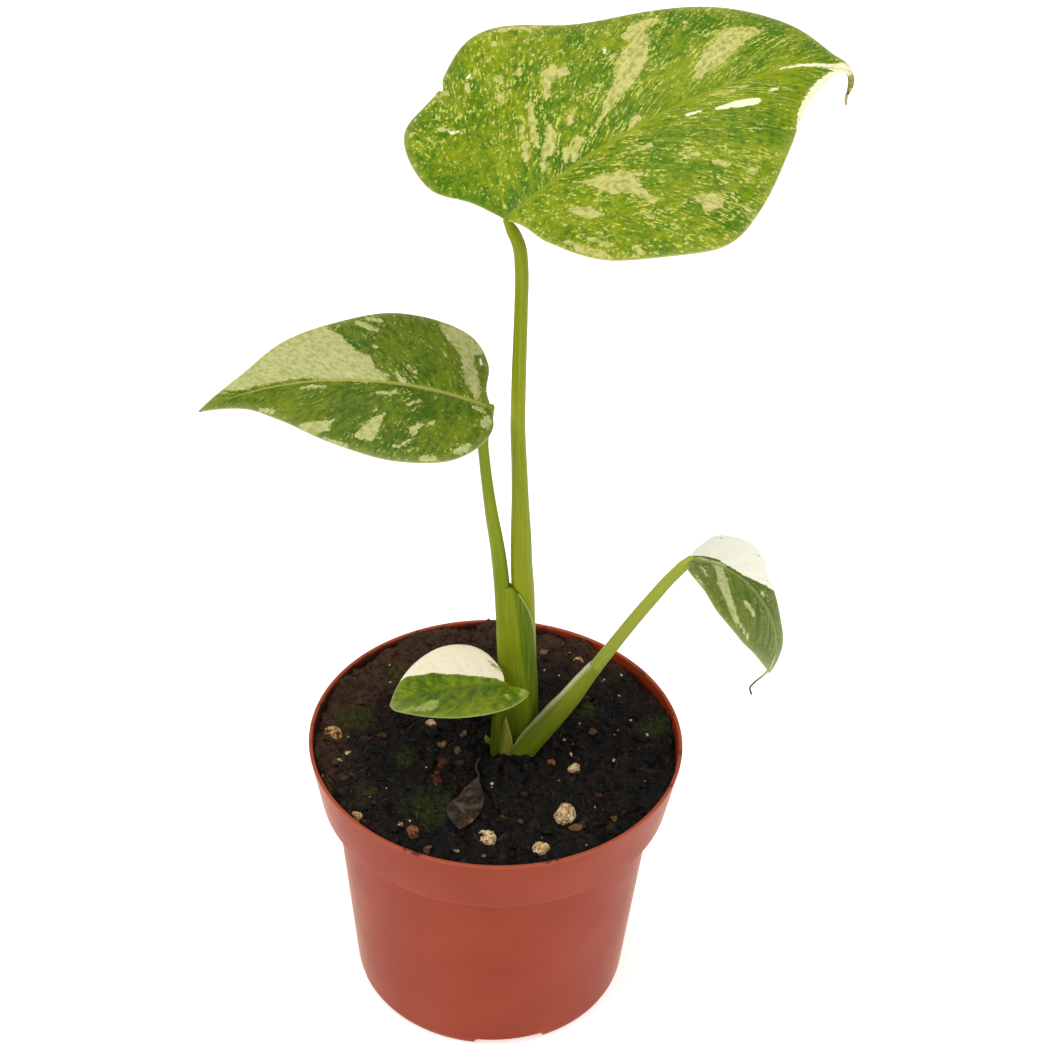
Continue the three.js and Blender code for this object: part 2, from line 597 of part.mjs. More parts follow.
function makeCrown(grow = 0) {
  const { x, y, radius, top, foot } = CROWN;
  const ring = (share, z) => Array.from({ length: 16 }, (_, k) => {
    const angle = (2 * Math.PI * k) / 16;
    const r = radius * share + grow;
    return new THREE.Vector3(x + r * Math.cos(angle), y + r * Math.sin(angle), z);
  });
  const middle = (top + foot) / 2;
  const rings = [ring(0.45, foot - grow), ring(0.8, foot + 4), ring(0.95, middle), ring(1, top - 1)];
  if (grow) {
    const pit = ring(PIT_RADIUS / radius, top - 1);
    rings.push(pit, pit.map((p) => p.clone().setZ(POT_HEIGHT)));
  } else {
    rings.push(ring(0.97, top));
  }
  let crown = loft(rings);
  const random = randomSource(11);
  for (let k = 0; k < ROOT_COUNT; k += 1) {
    const angle = ((360 * (k + 0.6 * random())) / ROOT_COUNT) * DEGREE;
    const reach = ROOT_REACH * (0.75 + 0.25 * random());
    const bend = angle + (random() - 0.5);
    const depth = ROOT_FOOT + ROOT_FOOT_SPREAD * random();
    const path = [
      [x + 2 * Math.cos(angle), y + 2 * Math.sin(angle), foot + 5, ROOT_RADIUS],
      [x + 0.42 * reach * Math.cos(angle), y + 0.42 * reach * Math.sin(angle), foot - 8, ROOT_RADIUS],
      [0.8 * reach * Math.cos(bend), 0.8 * reach * Math.sin(bend), (foot + depth) / 2, 0.8 * ROOT_RADIUS],
      [reach * Math.cos(bend), reach * Math.sin(bend), depth - grow, ROOT_TIP_RADIUS],
    ];
    crown = crown.add(stem(path, 6, 10, grow));
  }
  return crown;
}

function makeGrain([x, y, size, turn], seed, grow = 0) {
  const random = randomSource(100 + seed);
  const round = new THREE.IcosahedronGeometry(size / 2, 1).deleteAttribute('uv').deleteAttribute('normal');
  const shape = mergeVertices(round, 1e-3);
  const position = shape.getAttribute('position');
  for (let i = 0; i < position.count; i += 1) {
    const p = new THREE.Vector3().fromBufferAttribute(position, i);
    p.multiplyScalar(1 + GRAIN_ROUGHNESS * (2 * random() - 1)).multiply(new THREE.Vector3(1, 0.85, 0.75));
    p.setLength(p.length() + grow);
    position.setXYZ(i, p.x, p.y, p.z);
  }
  shape.rotateZ(turn * DEGREE);
  shape.translate(x, y, soilHeight(x, y) + GRAIN_SUNK * size * 0.5);
  return solidFrom(shape);
}

function makeWithered(soil) {
  const drape = (p) => p.setZ(p.z + soilHeight(p.x, p.y));
  const blade = makeBlade(WITHERED, BLADE_THICKNESS, 0, drape);
  const { path, radius, lift } = WITHERED_STALK;
  const thread = stem(path.map(([x, y]) => [x, y, soilHeight(x, y) + lift, radius]), 6, 10);
  const raisedSoil = soil.translate([0, 0, GAP]);
  return blade.add(thread).subtract(raisedSoil);
}

// Assembly

const model = new THREE.Group();

function add(name, solid, colour, roughness) {
  const material = new THREE.MeshStandardMaterial({ color: colour, roughness, metalness: 0 });
  const mesh = new THREE.Mesh(geometryFrom(solid), material);
  mesh.name = name;
  model.add(mesh);
}

const fatBlade = (leaf) => makeBlade(leaf, BLADE_THICKNESS + 2 * GAP, MIDRIB_DEPTH);
const STALK_FINENESS = [[12, 32], [10, 28], [10, 22], [9, 10]];
const stalk = (number, grow = 0) => {
  const [sides, steps] = STALK_FINENESS[number - 1];
  return stem(STALKS[`leaf_stalk_${number}`], sides, steps, grow);
};

const roomOfStalk1 = stalk(1, GAP);
const roomOfMainStem = roomOfStalk1.add(stalk(2, GAP)).add(makeWrap(GAP));
const roomOfStalks = roomOfMainStem.add(stalk(3, GAP)).add(makeTrough(GAP)).add(stalk(4, GAP));
const stalkBodies = [
  stalk(1),
  stalk(2).add(makeWrap()).subtract(roomOfStalk1),
  stalk(3).add(makeTrough()).subtract(roomOfMainStem),
  stalk(4),
];

add('pot', makePot(), COLOURS.pot, 0.45);

let soil = makeSoilBed().subtract(makeCrown(GAP));
GRAINS.forEach((grain, k) => { soil = soil.subtract(makeGrain(grain, k, GAP)); });
soil = mainBody(soil);
add('soil', soil, COLOURS.soil, 0.95);
add('crown_with_roots', makeCrown(), COLOURS.crown, 0.7);

// Everything that stands on the crown ends a gap above it
const belowStalks = solidFrom(new THREE.BoxGeometry(80, 80, 40).translate(0, 0, STALK_FOOT - 20));
stalkBodies.forEach((body, k) => {
  const blade = fatBlade(BLADES[`leaf_blade_${k + 1}`]);
  add(`leaf_stalk_${k + 1}`, body.subtract(blade).subtract(belowStalks), COLOURS.stalk, 0.5);
});
Object.entries(BLADES).forEach(([name, leaf]) => {
  let blade = makeBlade(leaf, BLADE_THICKNESS, MIDRIB_DEPTH);
  if (name === 'leaf_blade_3') blade = blade.add(stem(DRIED_TIP, 6, 8));
  add(name, blade, COLOURS.blade, 0.45);
});
Object.entries(BRACTS).forEach(([name, leaf]) => {
  const bract = makeBlade(leaf, BLADE_THICKNESS, 0).subtract(roomOfStalks);
  add(name, bract.subtract(belowStalks), COLOURS.bract, 0.6);
});
add('withered_leaf', makeWithered(soil), COLOURS.withered, 0.6);
GRAINS.forEach((grain, k) => {
  const colour = grain[4] ? COLOURS.brownGrain : COLOURS.paleGrain;
  add(`grain_${String(k + 1).padStart(2, '0')}`, makeGrain(grain, k), colour, 0.8);
});

export default model;
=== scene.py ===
"""A young variegated monstera in its plastic nursery pot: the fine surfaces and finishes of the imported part.

Lengths are in millimetres, and become metres where a mesh is made. The origin is the middle of the pot's
underside, +Z is up and the plant's front faces -Y. Blades, stalks, soil and grains are worked out from the
same driving values as the solids that they stand for.
"""

import sys
import logging
import math
from collections.abc import Callable, Sequence
from dataclasses import dataclass, field
from enum import Enum
from functools import partial

import bpy
import numpy as np
from bpy.types import Material, Node, NodeSocket, NodeTree, Object, Scene
from mathutils import Matrix, Vector
from numpy import ndarray as Array


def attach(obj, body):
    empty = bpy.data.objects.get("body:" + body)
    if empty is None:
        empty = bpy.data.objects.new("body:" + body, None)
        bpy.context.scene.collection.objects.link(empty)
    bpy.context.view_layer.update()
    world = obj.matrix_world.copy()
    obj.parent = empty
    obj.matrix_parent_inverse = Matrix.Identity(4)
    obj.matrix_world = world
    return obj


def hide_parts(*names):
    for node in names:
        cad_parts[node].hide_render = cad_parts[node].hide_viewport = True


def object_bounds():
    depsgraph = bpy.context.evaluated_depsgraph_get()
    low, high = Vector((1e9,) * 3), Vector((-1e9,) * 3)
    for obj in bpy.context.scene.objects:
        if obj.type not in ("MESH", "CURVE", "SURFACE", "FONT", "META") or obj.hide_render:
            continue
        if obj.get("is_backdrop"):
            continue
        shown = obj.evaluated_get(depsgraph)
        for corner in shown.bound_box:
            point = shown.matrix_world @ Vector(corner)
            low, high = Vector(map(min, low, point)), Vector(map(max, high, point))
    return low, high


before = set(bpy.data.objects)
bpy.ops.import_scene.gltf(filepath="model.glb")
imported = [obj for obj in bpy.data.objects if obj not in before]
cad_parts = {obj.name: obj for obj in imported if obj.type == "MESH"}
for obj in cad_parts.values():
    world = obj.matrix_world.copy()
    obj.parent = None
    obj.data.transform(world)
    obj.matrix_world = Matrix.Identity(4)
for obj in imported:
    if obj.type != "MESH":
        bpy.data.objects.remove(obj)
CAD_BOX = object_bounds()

log = logging.getLogger("monstera")

MM = 0.001
DEGREE = math.pi / 180
FULL_TURN = 2 * math.pi

# Sockets of the Mix node: the share of the second, and its two colours
SHARE, FIRST, SECOND = 0, 6, 7


class Tone(Enum):
    """The tones of a marking on a variegated blade, and the channel of the marks attribute that each has."""

    PALE = 0
    CREAM = 1
    SMUDGE = 2


# Materials: shared steps


def linear(colour: str) -> tuple[float, float, float, float]:
    """Turn an sRGB hex colour to the linear red, green, blue and alpha that a shader takes.

    Args:
        colour: the colour, such as "#8fa03a".

    Returns:
        Each channel c as c / 12.92 below 0.04045, else ((c + 0.055) / 1.055) to the power 2.4, and alpha 1.
    """
    channels = [int(colour[place:place + 2], 16) / 255 for place in (1, 3, 5)]
    red, green, blue = (c / 12.92 if c < 0.04045 else ((c + 0.055) / 1.055) ** 2.4 for c in channels)
    return red, green, blue, 1.0


def node(tree: NodeTree, kind: str, *inputs: object, **settings: object) -> Node:
    """Add one shader node with its settings, its values and its links.

    Args:
        tree: the material's node tree.
        kind: the node's kind, less the ShaderNode in front.
        inputs: what the first sockets take, in their order, or one dictionary by their names or numbers: a
            value, a hex colour, or an output or a node to link.
        settings: the node's own properties.

    Returns:
        The new node.
    """
    made = tree.nodes.new("ShaderNode" + kind)
    for name, value in settings.items():
        setattr(made, name, value)
    sockets = inputs[0] if inputs and isinstance(inputs[0], dict) else dict(enumerate(inputs))
    for socket, value in sockets.items():
        if isinstance(value, Node):
            value = next(output for output in value.outputs if output.enabled)
        if isinstance(value, NodeSocket):
            tree.links.new(value, made.inputs[socket])
        else:
            made.inputs[socket].default_value = linear(value) if isinstance(value, str) else value
    return made


def bare_material(name: str) -> tuple[Material, NodeTree, Callable]:
    """Make a node material with nothing in its tree but the output, and the function that adds its nodes."""
    material = bpy.data.materials.new(name)
    material.use_nodes = True
    tree = material.node_tree
    tree.nodes.clear()
    tree.nodes.new("ShaderNodeOutputMaterial")
    return material, tree, partial(node, tree)


def own_place(tree: NodeTree, sizes: Sequence[float] = (1, 1, 1)) -> Node:
    """Read each point's place on the object, in steps of these sizes in millimetres."""
    at = node(tree, "TexCoord").outputs["Object"]
    return node(tree, "VectorMath", at, [1 / (MM * size) for size in sizes], operation="MULTIPLY")


def paint_over(tree: NodeTree, colour: Node | str, *paints: tuple) -> Node:
    """Lay paints over a colour, one over another.

    Args:
        tree: the material's node tree.
        colour: what lies under them.
        paints: for each what its cover follows, the values there at which it starts and is full, the most
            cover where that is less than all, and its hex colour.

    Returns:
        The last node, which gives the colour.
    """
    for guide, start, full, *most, paint in paints:
        share = node(tree, "MapRange", {0: guide, 1: start, 2: full, 4: most[0] if most else 1})
        colour = node(tree, "Mix", {SHARE: share, FIRST: colour, SECOND: paint}, data_type="RGBA")
    return colour


def finish_surface(tree: NodeTree, inputs: dict) -> None:
    """Add the surface shader with these inputs, and link it to the output."""
    shader = node(tree, "BsdfPrincipled", inputs)
    tree.links.new(shader.outputs[0], tree.nodes["Material Output"].inputs["Surface"])


# Meshes: shared steps


@dataclass
class Surface:
    """The points and faces of one piece while it is put together, in millimetres."""

    points: list[Array] = field(default_factory=list)
    faces: list[tuple[Array, int]] = field(default_factory=list)
    marks: dict[str, list[Array]] = field(default_factory=dict)
    count: int = 0

    def add(self, points: Array, faces: Sequence[Array], material: int = 0, **marks: Array) -> int:
        """Add points, and faces that number them from 0.

        Args:
            points: an array whose last axis is x, y, z.
            faces: arrays of one row a face, each with its own count of corners.
            material: the place of the faces' material in the piece's list.
            marks: by name, what the material reads at each point: three numbers, or one for all three.

        Returns:
            The number of the first added point.
        """
        start = self.count
        flat = points.reshape(-1, 3)
        self.points.append(flat)
        self.count += len(flat)
        self.faces += [(corners + start, material) for corners in faces]
        for name, values in marks.items():
            rows = np.broadcast_to(values.reshape(-1, values.shape[-1]), flat.shape)
            self.marks.setdefault(name, []).append(rows)
        return start

    def join(self, faces: Array, material: int = 0) -> None:
        """Add faces between points that are already there."""
        self.faces.append((faces, material))

    def build(self, name: str, materials: Sequence[Material], crease: float = 180) -> Object:
        """Make the mesh object.

        Args:
            name: the object's name.
            materials: its materials, in the order that the faces number them.
            crease: the angle in degrees past which an edge is shaded sharp.

        Returns:
            The object, linked to the scene, at the origin.
        """
        mesh = bpy.data.meshes.new(name)
        points = np.concatenate(self.points) * MM
        corners = np.concatenate([faces.ravel() for faces, _ in self.faces]).astype(np.int32)
        sizes = np.concatenate([np.full(len(faces), faces.shape[1]) for faces, _ in self.faces])
        starts = np.concatenate([[0], np.cumsum(sizes)[:-1]]).astype(np.int32)
        kinds = np.concatenate([np.full(len(faces), kind) for faces, kind in self.faces]).astype(np.int32)
        mesh.vertices.add(len(points))
        mesh.vertices.foreach_set("co", points.astype(np.float32).ravel())
        mesh.loops.add(len(corners))
        mesh.loops.foreach_set("vertex_index", corners)
        mesh.polygons.add(len(sizes))
        mesh.polygons.foreach_set("loop_start", starts)
        mesh.polygons.foreach_set("material_index", kinds)
        mesh.polygons.foreach_set("use_smooth", np.ones(len(sizes), bool))
        mesh.update(calc_edges=True)
        mesh.validate()
        if crease < 180:
            mesh.set_sharp_from_angle(angle=crease * DEGREE)
        for mark, values in self.marks.items():
            attribute = mesh.attributes.new(mark, "FLOAT_VECTOR", "POINT")
            attribute.data.foreach_set("vector", np.concatenate(values).astype(np.float32).ravel())
        for material in materials:
            mesh.materials.append(material)
        made = bpy.data.objects.new(name, mesh)
        bpy.context.scene.collection.objects.link(made)
        return made

    def settle(self, name: str, slot: str, materials: Sequence[Material], *nodes: str,
               crease: float = 180) -> None:
        """Make the piece, and let it ride on the part's one body.

        Args:
            name: the piece's name.
            slot: not used.
            materials: its materials, in the order that the faces number them.
            nodes: the CAD nodes that it stands for, if any.
            crease: the angle in degrees past which an edge is shaded sharp.
        """
        piece = self.build(name, materials, crease)
        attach(piece, "root")
        if nodes:
            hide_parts(*nodes)
        log.info("%s: %d triangles", name, sum(len(face.vertices) - 2 for face in piece.data.polygons))


def grid_faces(rows: int, columns: int, around: bool = False, closed: bool = False) -> Array:
    """Work out the four-sided faces of a grid of points that is stored row by row.

    Args:
        rows: how many rows of points there are.
        columns: how many points a row has.
        around: whether each row's last point joins its first.
        closed: whether the last row joins the first.

    Returns:
        One row for each face: a point, the next in its row, and the two beside them in the next row.
    """
    row = np.arange(rows if closed else rows - 1)[:, None]
    column = np.arange(columns if around else columns - 1)[None, :]
    after, beside = (row + 1) % rows, (column + 1) % columns
    corners = [row * columns + column, row * columns + beside,
               after * columns + beside, after * columns + column]
    return together(*corners).reshape(-1, 4)


def fan_faces(ring: Array, middle: int) -> Array:
    """Work out the triangles from a closed ring of points to one in the middle."""
    return together(ring, np.roll(ring, -1), np.full_like(ring, middle))


def tube(rings: Array, ends: Sequence) -> tuple[Array, list[Array]]:
    """Close a tube of rings with a point in the middle of each end.

    Args:
        rings: an array of rings by points by x, y, z.
        ends: the point at the first ring and the one at the last.

    Returns:
        All points, with the ends last, and the faces of the wall and of both ends.
    """
    rows, sides = rings.shape[:2]
    ring, count = np.arange(sides), rows * sides
    faces = [grid_faces(rows, sides, around=True), fan_faces(ring[::-1], count),
             fan_faces(ring + count - sides, count + 1)]
    return np.concatenate([rings.reshape(-1, 3), ends]), faces


def together(*parts: Array | float) -> Array:
    """Put the parts of each point side by side, such as its x, y and z."""
    return np.stack(np.broadcast_arrays(*parts), -1)


def unit(vectors: Array) -> Array:
    """Bring each vector along the last axis to length 1."""
    return vectors / np.maximum(np.linalg.norm(vectors, axis=-1, keepdims=True), 1e-9)


def smooth_step(values: Array | float, low: float, high: float) -> Array:
    """Rise from 0 at low to 1 at high along 3 t squared less 2 t cubed."""
    t = np.clip((np.asarray(values) - low) / (high - low), 0, 1)
    return t * t * (3 - 2 * t)


def random_relief(points: Array, size: float, seed: int, waves: int = 28) -> Array:
    """Work out a smooth random relief.

    Args:
        points: places, one row each, in as many dimensions as the relief has.
        size: the usual distance between its hills, in millimetres.
        seed: the seed of its waves.
        waves: how many plane waves it sums.

    Returns:
        For each place the sum of sines of its distance along random directions, scaled to spread over
        about -1 to 1.
    """
    draw = np.random.default_rng(seed)
    ahead = unit(draw.normal(size=(waves, points.shape[1])))
    lengths = size * draw.uniform(0.7, 1.5, waves)
    phases = draw.uniform(0, FULL_TURN, waves)
    turns = points @ (FULL_TURN * ahead / lengths[:, None]).T + phases
    return np.sin(turns).sum(1) / math.sqrt(waves) * 0.8


def curve_through(points: Sequence[Sequence[float]], places: Array) -> Array:
    """Read a smooth curve through points, at equal shares of its stretches.

    Args:
        points: the points that the curve passes, in any number of dimensions.
        places: where to read it, from 0 at the first point to 1 at the last.

    Returns:
        One row for each place: a cubic in each stretch, whose slopes at its ends come from the
        neighbouring points, weighed by the square roots of their distances.
    """
    knots = np.asarray(points, float)
    stretch = places * (len(knots) - 1)
    first = np.minimum(np.floor(stretch).astype(int), len(knots) - 2)
    share = (stretch - first)[:, None]
    ends = np.vstack([2 * knots[0] - knots[1], knots, 2 * knots[-1] - knots[-2]])
    p0, p1, p2, p3 = (ends[first + k] for k in range(4))
    root = [np.sqrt(np.linalg.norm(b - a, axis=1, keepdims=True)) for a, b in ((p0, p1), (p1, p2), (p2, p3))]
    start = ((p1 - p0) / root[0] - (p2 - p0) / (root[0] + root[1]) + (p2 - p1) / root[1]) * root[1]
    stop = ((p2 - p1) / root[1] - (p3 - p1) / (root[1] + root[2]) + (p3 - p2) / root[2]) * root[1]
    rise = p2 - p1
    return (p1 + start * share + (3 * rise - 2 * start - stop) * share**2
            + (start + stop - 2 * rise) * share**3)


def rings_along(path: Array, radii: Array, angles: Array) -> Array:
    """Set a round section along a path.

    Args:
        path: the centre line, one row a place.
        radii: the radius at each place, or an array of one row a place and one column an angle.
        angles: the angles round the section, in radians.

    Returns:
        Places by angles by x, y, z: centre + radius (cos angle side + sin angle other), where side is
        square to the path and to +Y, and other to both.
    """
    ahead = unit(np.gradient(path, axis=0))
    side = unit(np.cross(ahead, (0.0, 1.0, 0.0)))
    other = np.cross(ahead, side)
    spread = np.broadcast_to(radii if radii.ndim == 2 else radii[:, None], (len(path), len(angles)))
    across = np.cos(angles)[None, :, None] * side[:, None] + np.sin(angles)[None, :, None] * other[:, None]
    return path[:, None] + spread[..., None] * across


# Leaf blades


@dataclass(frozen=True)
class Half:
    """One half of a blade: how it folds up from the midrib and curls, its wave and its outline.

    A pair of angles, in degrees, is the base's and what the tip adds. The wave has a height, length and
    phase. The outline runs from base to tip, in distances along the midrib and out from it.
    """

    fold: tuple[float, float]
    curl: tuple[float, float]
    wave: tuple[float, float, float]
    outline: tuple[tuple[float, float], ...]


def to_side(place: Array, a: Array, b: Array) -> Array:
    """Work out the distance to the line from a to b, less a half width that goes from a's to b's."""
    along = b[:2] - a[:2]
    share = np.clip((place - a[:2]) @ along / (along @ along), 0, 1)
    return np.linalg.norm(place - a[:2] - share[:, None] * along, axis=1) - a[2] - share * (b[2] - a[2])


def to_marking(place: Array, points: Sequence[Sequence[float]]) -> Array:
    """Work out how far each place on a blade is from a marking's edge.

    Args:
        place: flat places, one row each.
        points: a streak's points, each with a half width, or the points round an area, which have none.

    Returns:
        The least distance, negative inside: to a streak's line less its half width, or to an area's
        sides, of which a line to the right crosses an odd number from inside.
    """
    knots = np.array(points, float)
    if knots.shape[1] == 3:
        return np.min([to_side(place, a, b) for a, b in zip(knots[:-1], knots[1:])], axis=0)
    knots = np.pad(knots, ((0, 0), (0, 1)))
    sides = list(zip(knots, np.roll(knots, -1, axis=0)))
    nearest = np.min([to_side(place, a, b) for a, b in sides], axis=0)
    inside = np.zeros(len(place), bool)
    for a, b in sides:
        passes = (a[1] > place[:, 1]) != (b[1] > place[:, 1])
        height = b[1] - a[1]
        crossing = a[0] + (b[0] - a[0]) * (place[:, 1] - a[1]) / (height if height else 1.0)
        inside ^= passes & (place[:, 0] < crossing)
    return np.where(inside, -nearest, nearest)


@dataclass(frozen=True)
class BladeFinish:
    """A variegated blade's sRGB hex colours, its flecks' shares, and its dried tip's length in mm."""

    deep: str
    fresh: str
    fleck: str
    pale: str
    pale_shade: str
    cream: str
    cream_shade: str
    rib: str
    fleck_share: float
    spot_share: float
    dried: float = 0.0


@dataclass(frozen=True)
class Blade:
    """A leaf blade: a midrib that arches and swings, with two halves that fold and curl about it.

    heading is the azimuth in which the blade sets out, and rise its slope there, both in degrees.
    """

    name: str
    nodes: tuple[str, ...]
    base: tuple[float, float, float]
    length: float
    heading: float
    rise: float
    arch: tuple[float, float]
    swing: float
    roll: float
    twist: float
    hook: tuple[float, float]
    left: Half
    right: Half
    rows: int
    columns: int
    thickness: float = 0.5
    rib: float = 1.3
    groove: float = 0.35
    vein_spacing: float = 9.0
    vein_spread: float = 2.5
    tip_roll: float = 0.0
    marks: dict[Tone, tuple] = field(default_factory=dict)
    notches: tuple[tuple[float, float, float, float], ...] = ()
    thread: tuple[tuple[float, float, float, float], ...] = ()

    MIDRIB_STEP = 0.5
    CURL_LENGTH = 50.0
    WAVE_REACH = 45.0
    LOBE_LIMIT = -0.3
    ROW_SPREAD = 1.4
    COLUMN_SPREAD = 1.35
    VEIN_LEAN = 0.1
    VEIN_WIDTH = 0.8
    VEIN_DEPTH = 0.1
    VEIN_RIDGE = 0.16
    SWELL = 0.12
    MARGIN_TAPER = 1.2
    MARGIN_THICKNESS = 0.22
    FAR = 40.0
    THREAD_STEPS = 40
    THREAD_SIDES = 10

    def slope_and_heading(self, x: Array) -> tuple[Array, Array]:
        """Work out which way the midrib travels.

        Args:
            x: distances along the midrib.

        Returns:
            The slope, rise + a s + b s squared less the hook's step at the tip, and the heading, which
            swings evenly with s, the share of the length. Both in radians.
        """
        s = np.maximum(x, 0) / self.length
        drop, reach = self.hook
        bent = smooth_step(x, self.length - reach, self.length)
        slope = self.rise + self.arch[0] * s + self.arch[1] * s * s - drop * bent
        return slope * DEGREE, (self.heading + self.swing * s) * DEGREE

    def midrib(self, x: Array) -> tuple[Array, Array, Array]:
        """Work out the midrib's places and the directions square to it.

        Args:
            x: distances along the midrib, negative behind the base.

        Returns:
            Places, summed in small steps ahead, and the blade's left and up there, rolled by roll + twist s.
        """

        def ahead(at: Array) -> Array:
            """Work out the direction of travel from its slope and heading."""
            slope, heading = self.slope_and_heading(at)
            level = np.cos(slope)
            return together(level * np.cos(heading), level * np.sin(heading), np.sin(slope))

        steps = np.arange(0, self.length + self.MIDRIB_STEP, self.MIDRIB_STEP)
        travel = ahead(steps)
        moves = (travel[1:] + travel[:-1]) * (self.MIDRIB_STEP / 2)
        line = np.vstack([np.zeros(3), np.cumsum(moves, axis=0)]) + self.base
        place = np.stack([np.interp(x, steps, line[:, axis]) for axis in range(3)], -1)
        place += np.minimum(x, 0)[..., None] * travel[0]
        slope, heading = self.slope_and_heading(x)
        roll = ((self.roll + self.twist * np.clip(x / self.length, 0, 1)) * DEGREE)[..., None]
        level = together(-np.sin(heading), np.cos(heading), 0.0)
        upright = together(-np.sin(slope) * np.cos(heading), -np.sin(slope) * np.sin(heading), np.cos(slope))
        left = np.cos(roll) * level + np.sin(roll) * upright
        return place, left, np.cos(roll) * upright - np.sin(roll) * level

    def bend(self, side: int, x: Array, d: Array) -> Array:
        """Bend flat places of one half to where they are.

        Args:
            side: 1 for the left half, -1 for the right.
            x: distances along the midrib.
            d: distances out from it.

        Returns:
            Midrib + side d cos(a) k left + (d sin(a) k + wave) up, where bow is half the curl over d, a is
            fold + bow, k is sin(bow) / bow, and the wave grows with d squared.
        """
        half = self.left if side > 0 else self.right
        s = np.clip(x / self.length, self.LOBE_LIMIT, 1)
        fold = (half.fold[0] + half.fold[1] * s) * DEGREE
        bow = (half.curl[0] + half.curl[1] * s) * DEGREE * d / (2 * self.CURL_LENGTH)
        chord = np.sinc(bow / math.pi)
        height, length, phase = half.wave
        wave = height * (d / self.WAVE_REACH) ** 2 * np.sin(FULL_TURN * (x / length + phase))
        place, left, up = self.midrib(x)
        out = side * d * np.cos(fold + bow) * chord
        return place + out[..., None] * left + (d * np.sin(fold + bow) * chord + wave)[..., None] * up

    def flat_grid(self) -> tuple[Array, Array, Array]:
        """Work out the flat places of the blade's grid.

        Returns:
            x along the midrib, y out from it and the distance to the margin, in rows from base to tip and
            columns from the right margin to the left. Row t starts on the midrib at length t^ROW_SPREAD
            and ends on the outline at t.
        """
        t = np.linspace(0.004, 0.996, self.rows)
        root = self.length * t**self.ROW_SPREAD
        share = np.linspace(-1, 1, 2 * self.columns + 1)
        out = np.abs(share) ** self.COLUMN_SPREAD
        right, left = (curve_through(half.outline, t)[:, None] for half in (self.right, self.left))
        edge = np.where((share < 0)[None, :, None], right, left)
        x = root[:, None] + (edge[..., 0] - root[:, None]) * out
        y = edge[..., 1] * out * np.sign(share)
        # A notch pulls in only what lies close to the margin
        for side, middle, depth, reach in self.notches:
            near = np.exp(-(((x - middle) / reach) ** 2)) * (side * y > edge[..., 1].max() / 2)
            y = y - side * depth * near * out**12
        width = np.hypot(edge[..., 0] - root[:, None], edge[..., 1])
        return x, y, (1 - out) * width

    def vein_root(self, x: Array, y: Array) -> Array:
        """Find where the side vein through a place leaves the midrib.

        Args:
            x: distances along the midrib.
            y: distances out from it.

        Returns:
            The root r of the straight vein x = r + (lean + spread r / length) |y|.
        """
        out = np.abs(y)
        return (x - self.VEIN_LEAN * out) / (1 + self.vein_spread * out / self.length)

    def thicken(self, middle: Array, x: Array, y: Array, margin: Array) -> tuple[Array, Array]:
        """Give the bent blade its two faces.

        Args:
            middle: the bent grid.
            x: flat distances along the midrib.
            y: flat distances out from it.
            margin: distances to the margin.

        Returns:
            The upper and lower face: the grid moved out by half the thickness, which thins to the margin
            and swells where the tip is rolled in. The veins are bell curves, sunk above and raised below.
        """
        along, out = np.gradient(middle, axis=0), np.gradient(middle, axis=1)
        normal = unit(np.cross(along, out))
        s = np.clip(x / self.length, 0, 1)
        rib_width = 0.5 + 1.0 * (1 - s)
        rib = np.exp(-((y / rib_width) ** 2)) * (1 - s) ** 0.8
        root = self.vein_root(x, y) / self.vein_spacing
        stretch = 1 + self.vein_spread * np.abs(y) / self.length
        off_vein = np.abs(root - np.round(root)) * self.vein_spacing * stretch
        fade = smooth_step(margin, 1, 8) * smooth_step(np.abs(y), 0.5, 3)
        vein = np.exp(-((off_vein / self.VEIN_WIDTH) ** 2)) * fade
        swell = np.minimum(off_vein / (0.5 * self.vein_spacing), 1) ** 2 * fade
        half = self.MARGIN_THICKNESS + (self.thickness - self.MARGIN_THICKNESS) * smooth_step(
            margin, 0, self.MARGIN_TAPER)
        before_tip = self.length - x
        half += self.tip_roll * smooth_step(before_tip, 12, 7) * smooth_step(before_tip, -1, 5)
        top = half / 2 - self.groove * rib - self.VEIN_DEPTH * vein + self.SWELL * swell
        bottom = -half / 2 - self.rib * rib - self.VEIN_RIDGE * vein + self.SWELL * swell
        return middle + top[..., None] * normal, middle + bottom[..., None] * normal

    def mark_distances(self, x: Array, y: Array) -> Array:
        """Work out how far each grid place is from the edge of each tone's nearest marking, up to FAR."""
        place = together(x.ravel(), y.ravel())
        far = np.full(len(place), self.FAR)
        near = ([far, *(to_marking(place, mark) for mark in self.marks.get(tone, ()))] for tone in Tone)
        return np.stack([np.min(found, axis=0) for found in near], -1)

    def thread_shell(self) -> tuple[Array, list[Array]]:
        """Work out the closed shell of the dried thread: its points, and its walls and end caps."""
        knots = np.array(self.thread)
        path = curve_through(knots, np.linspace(0, 1, self.THREAD_STEPS))
        angle = np.arange(self.THREAD_SIDES) * FULL_TURN / self.THREAD_SIDES
        return tube(rings_along(path[:, :3], path[:, 3], angle), path[[0, -1], :3])

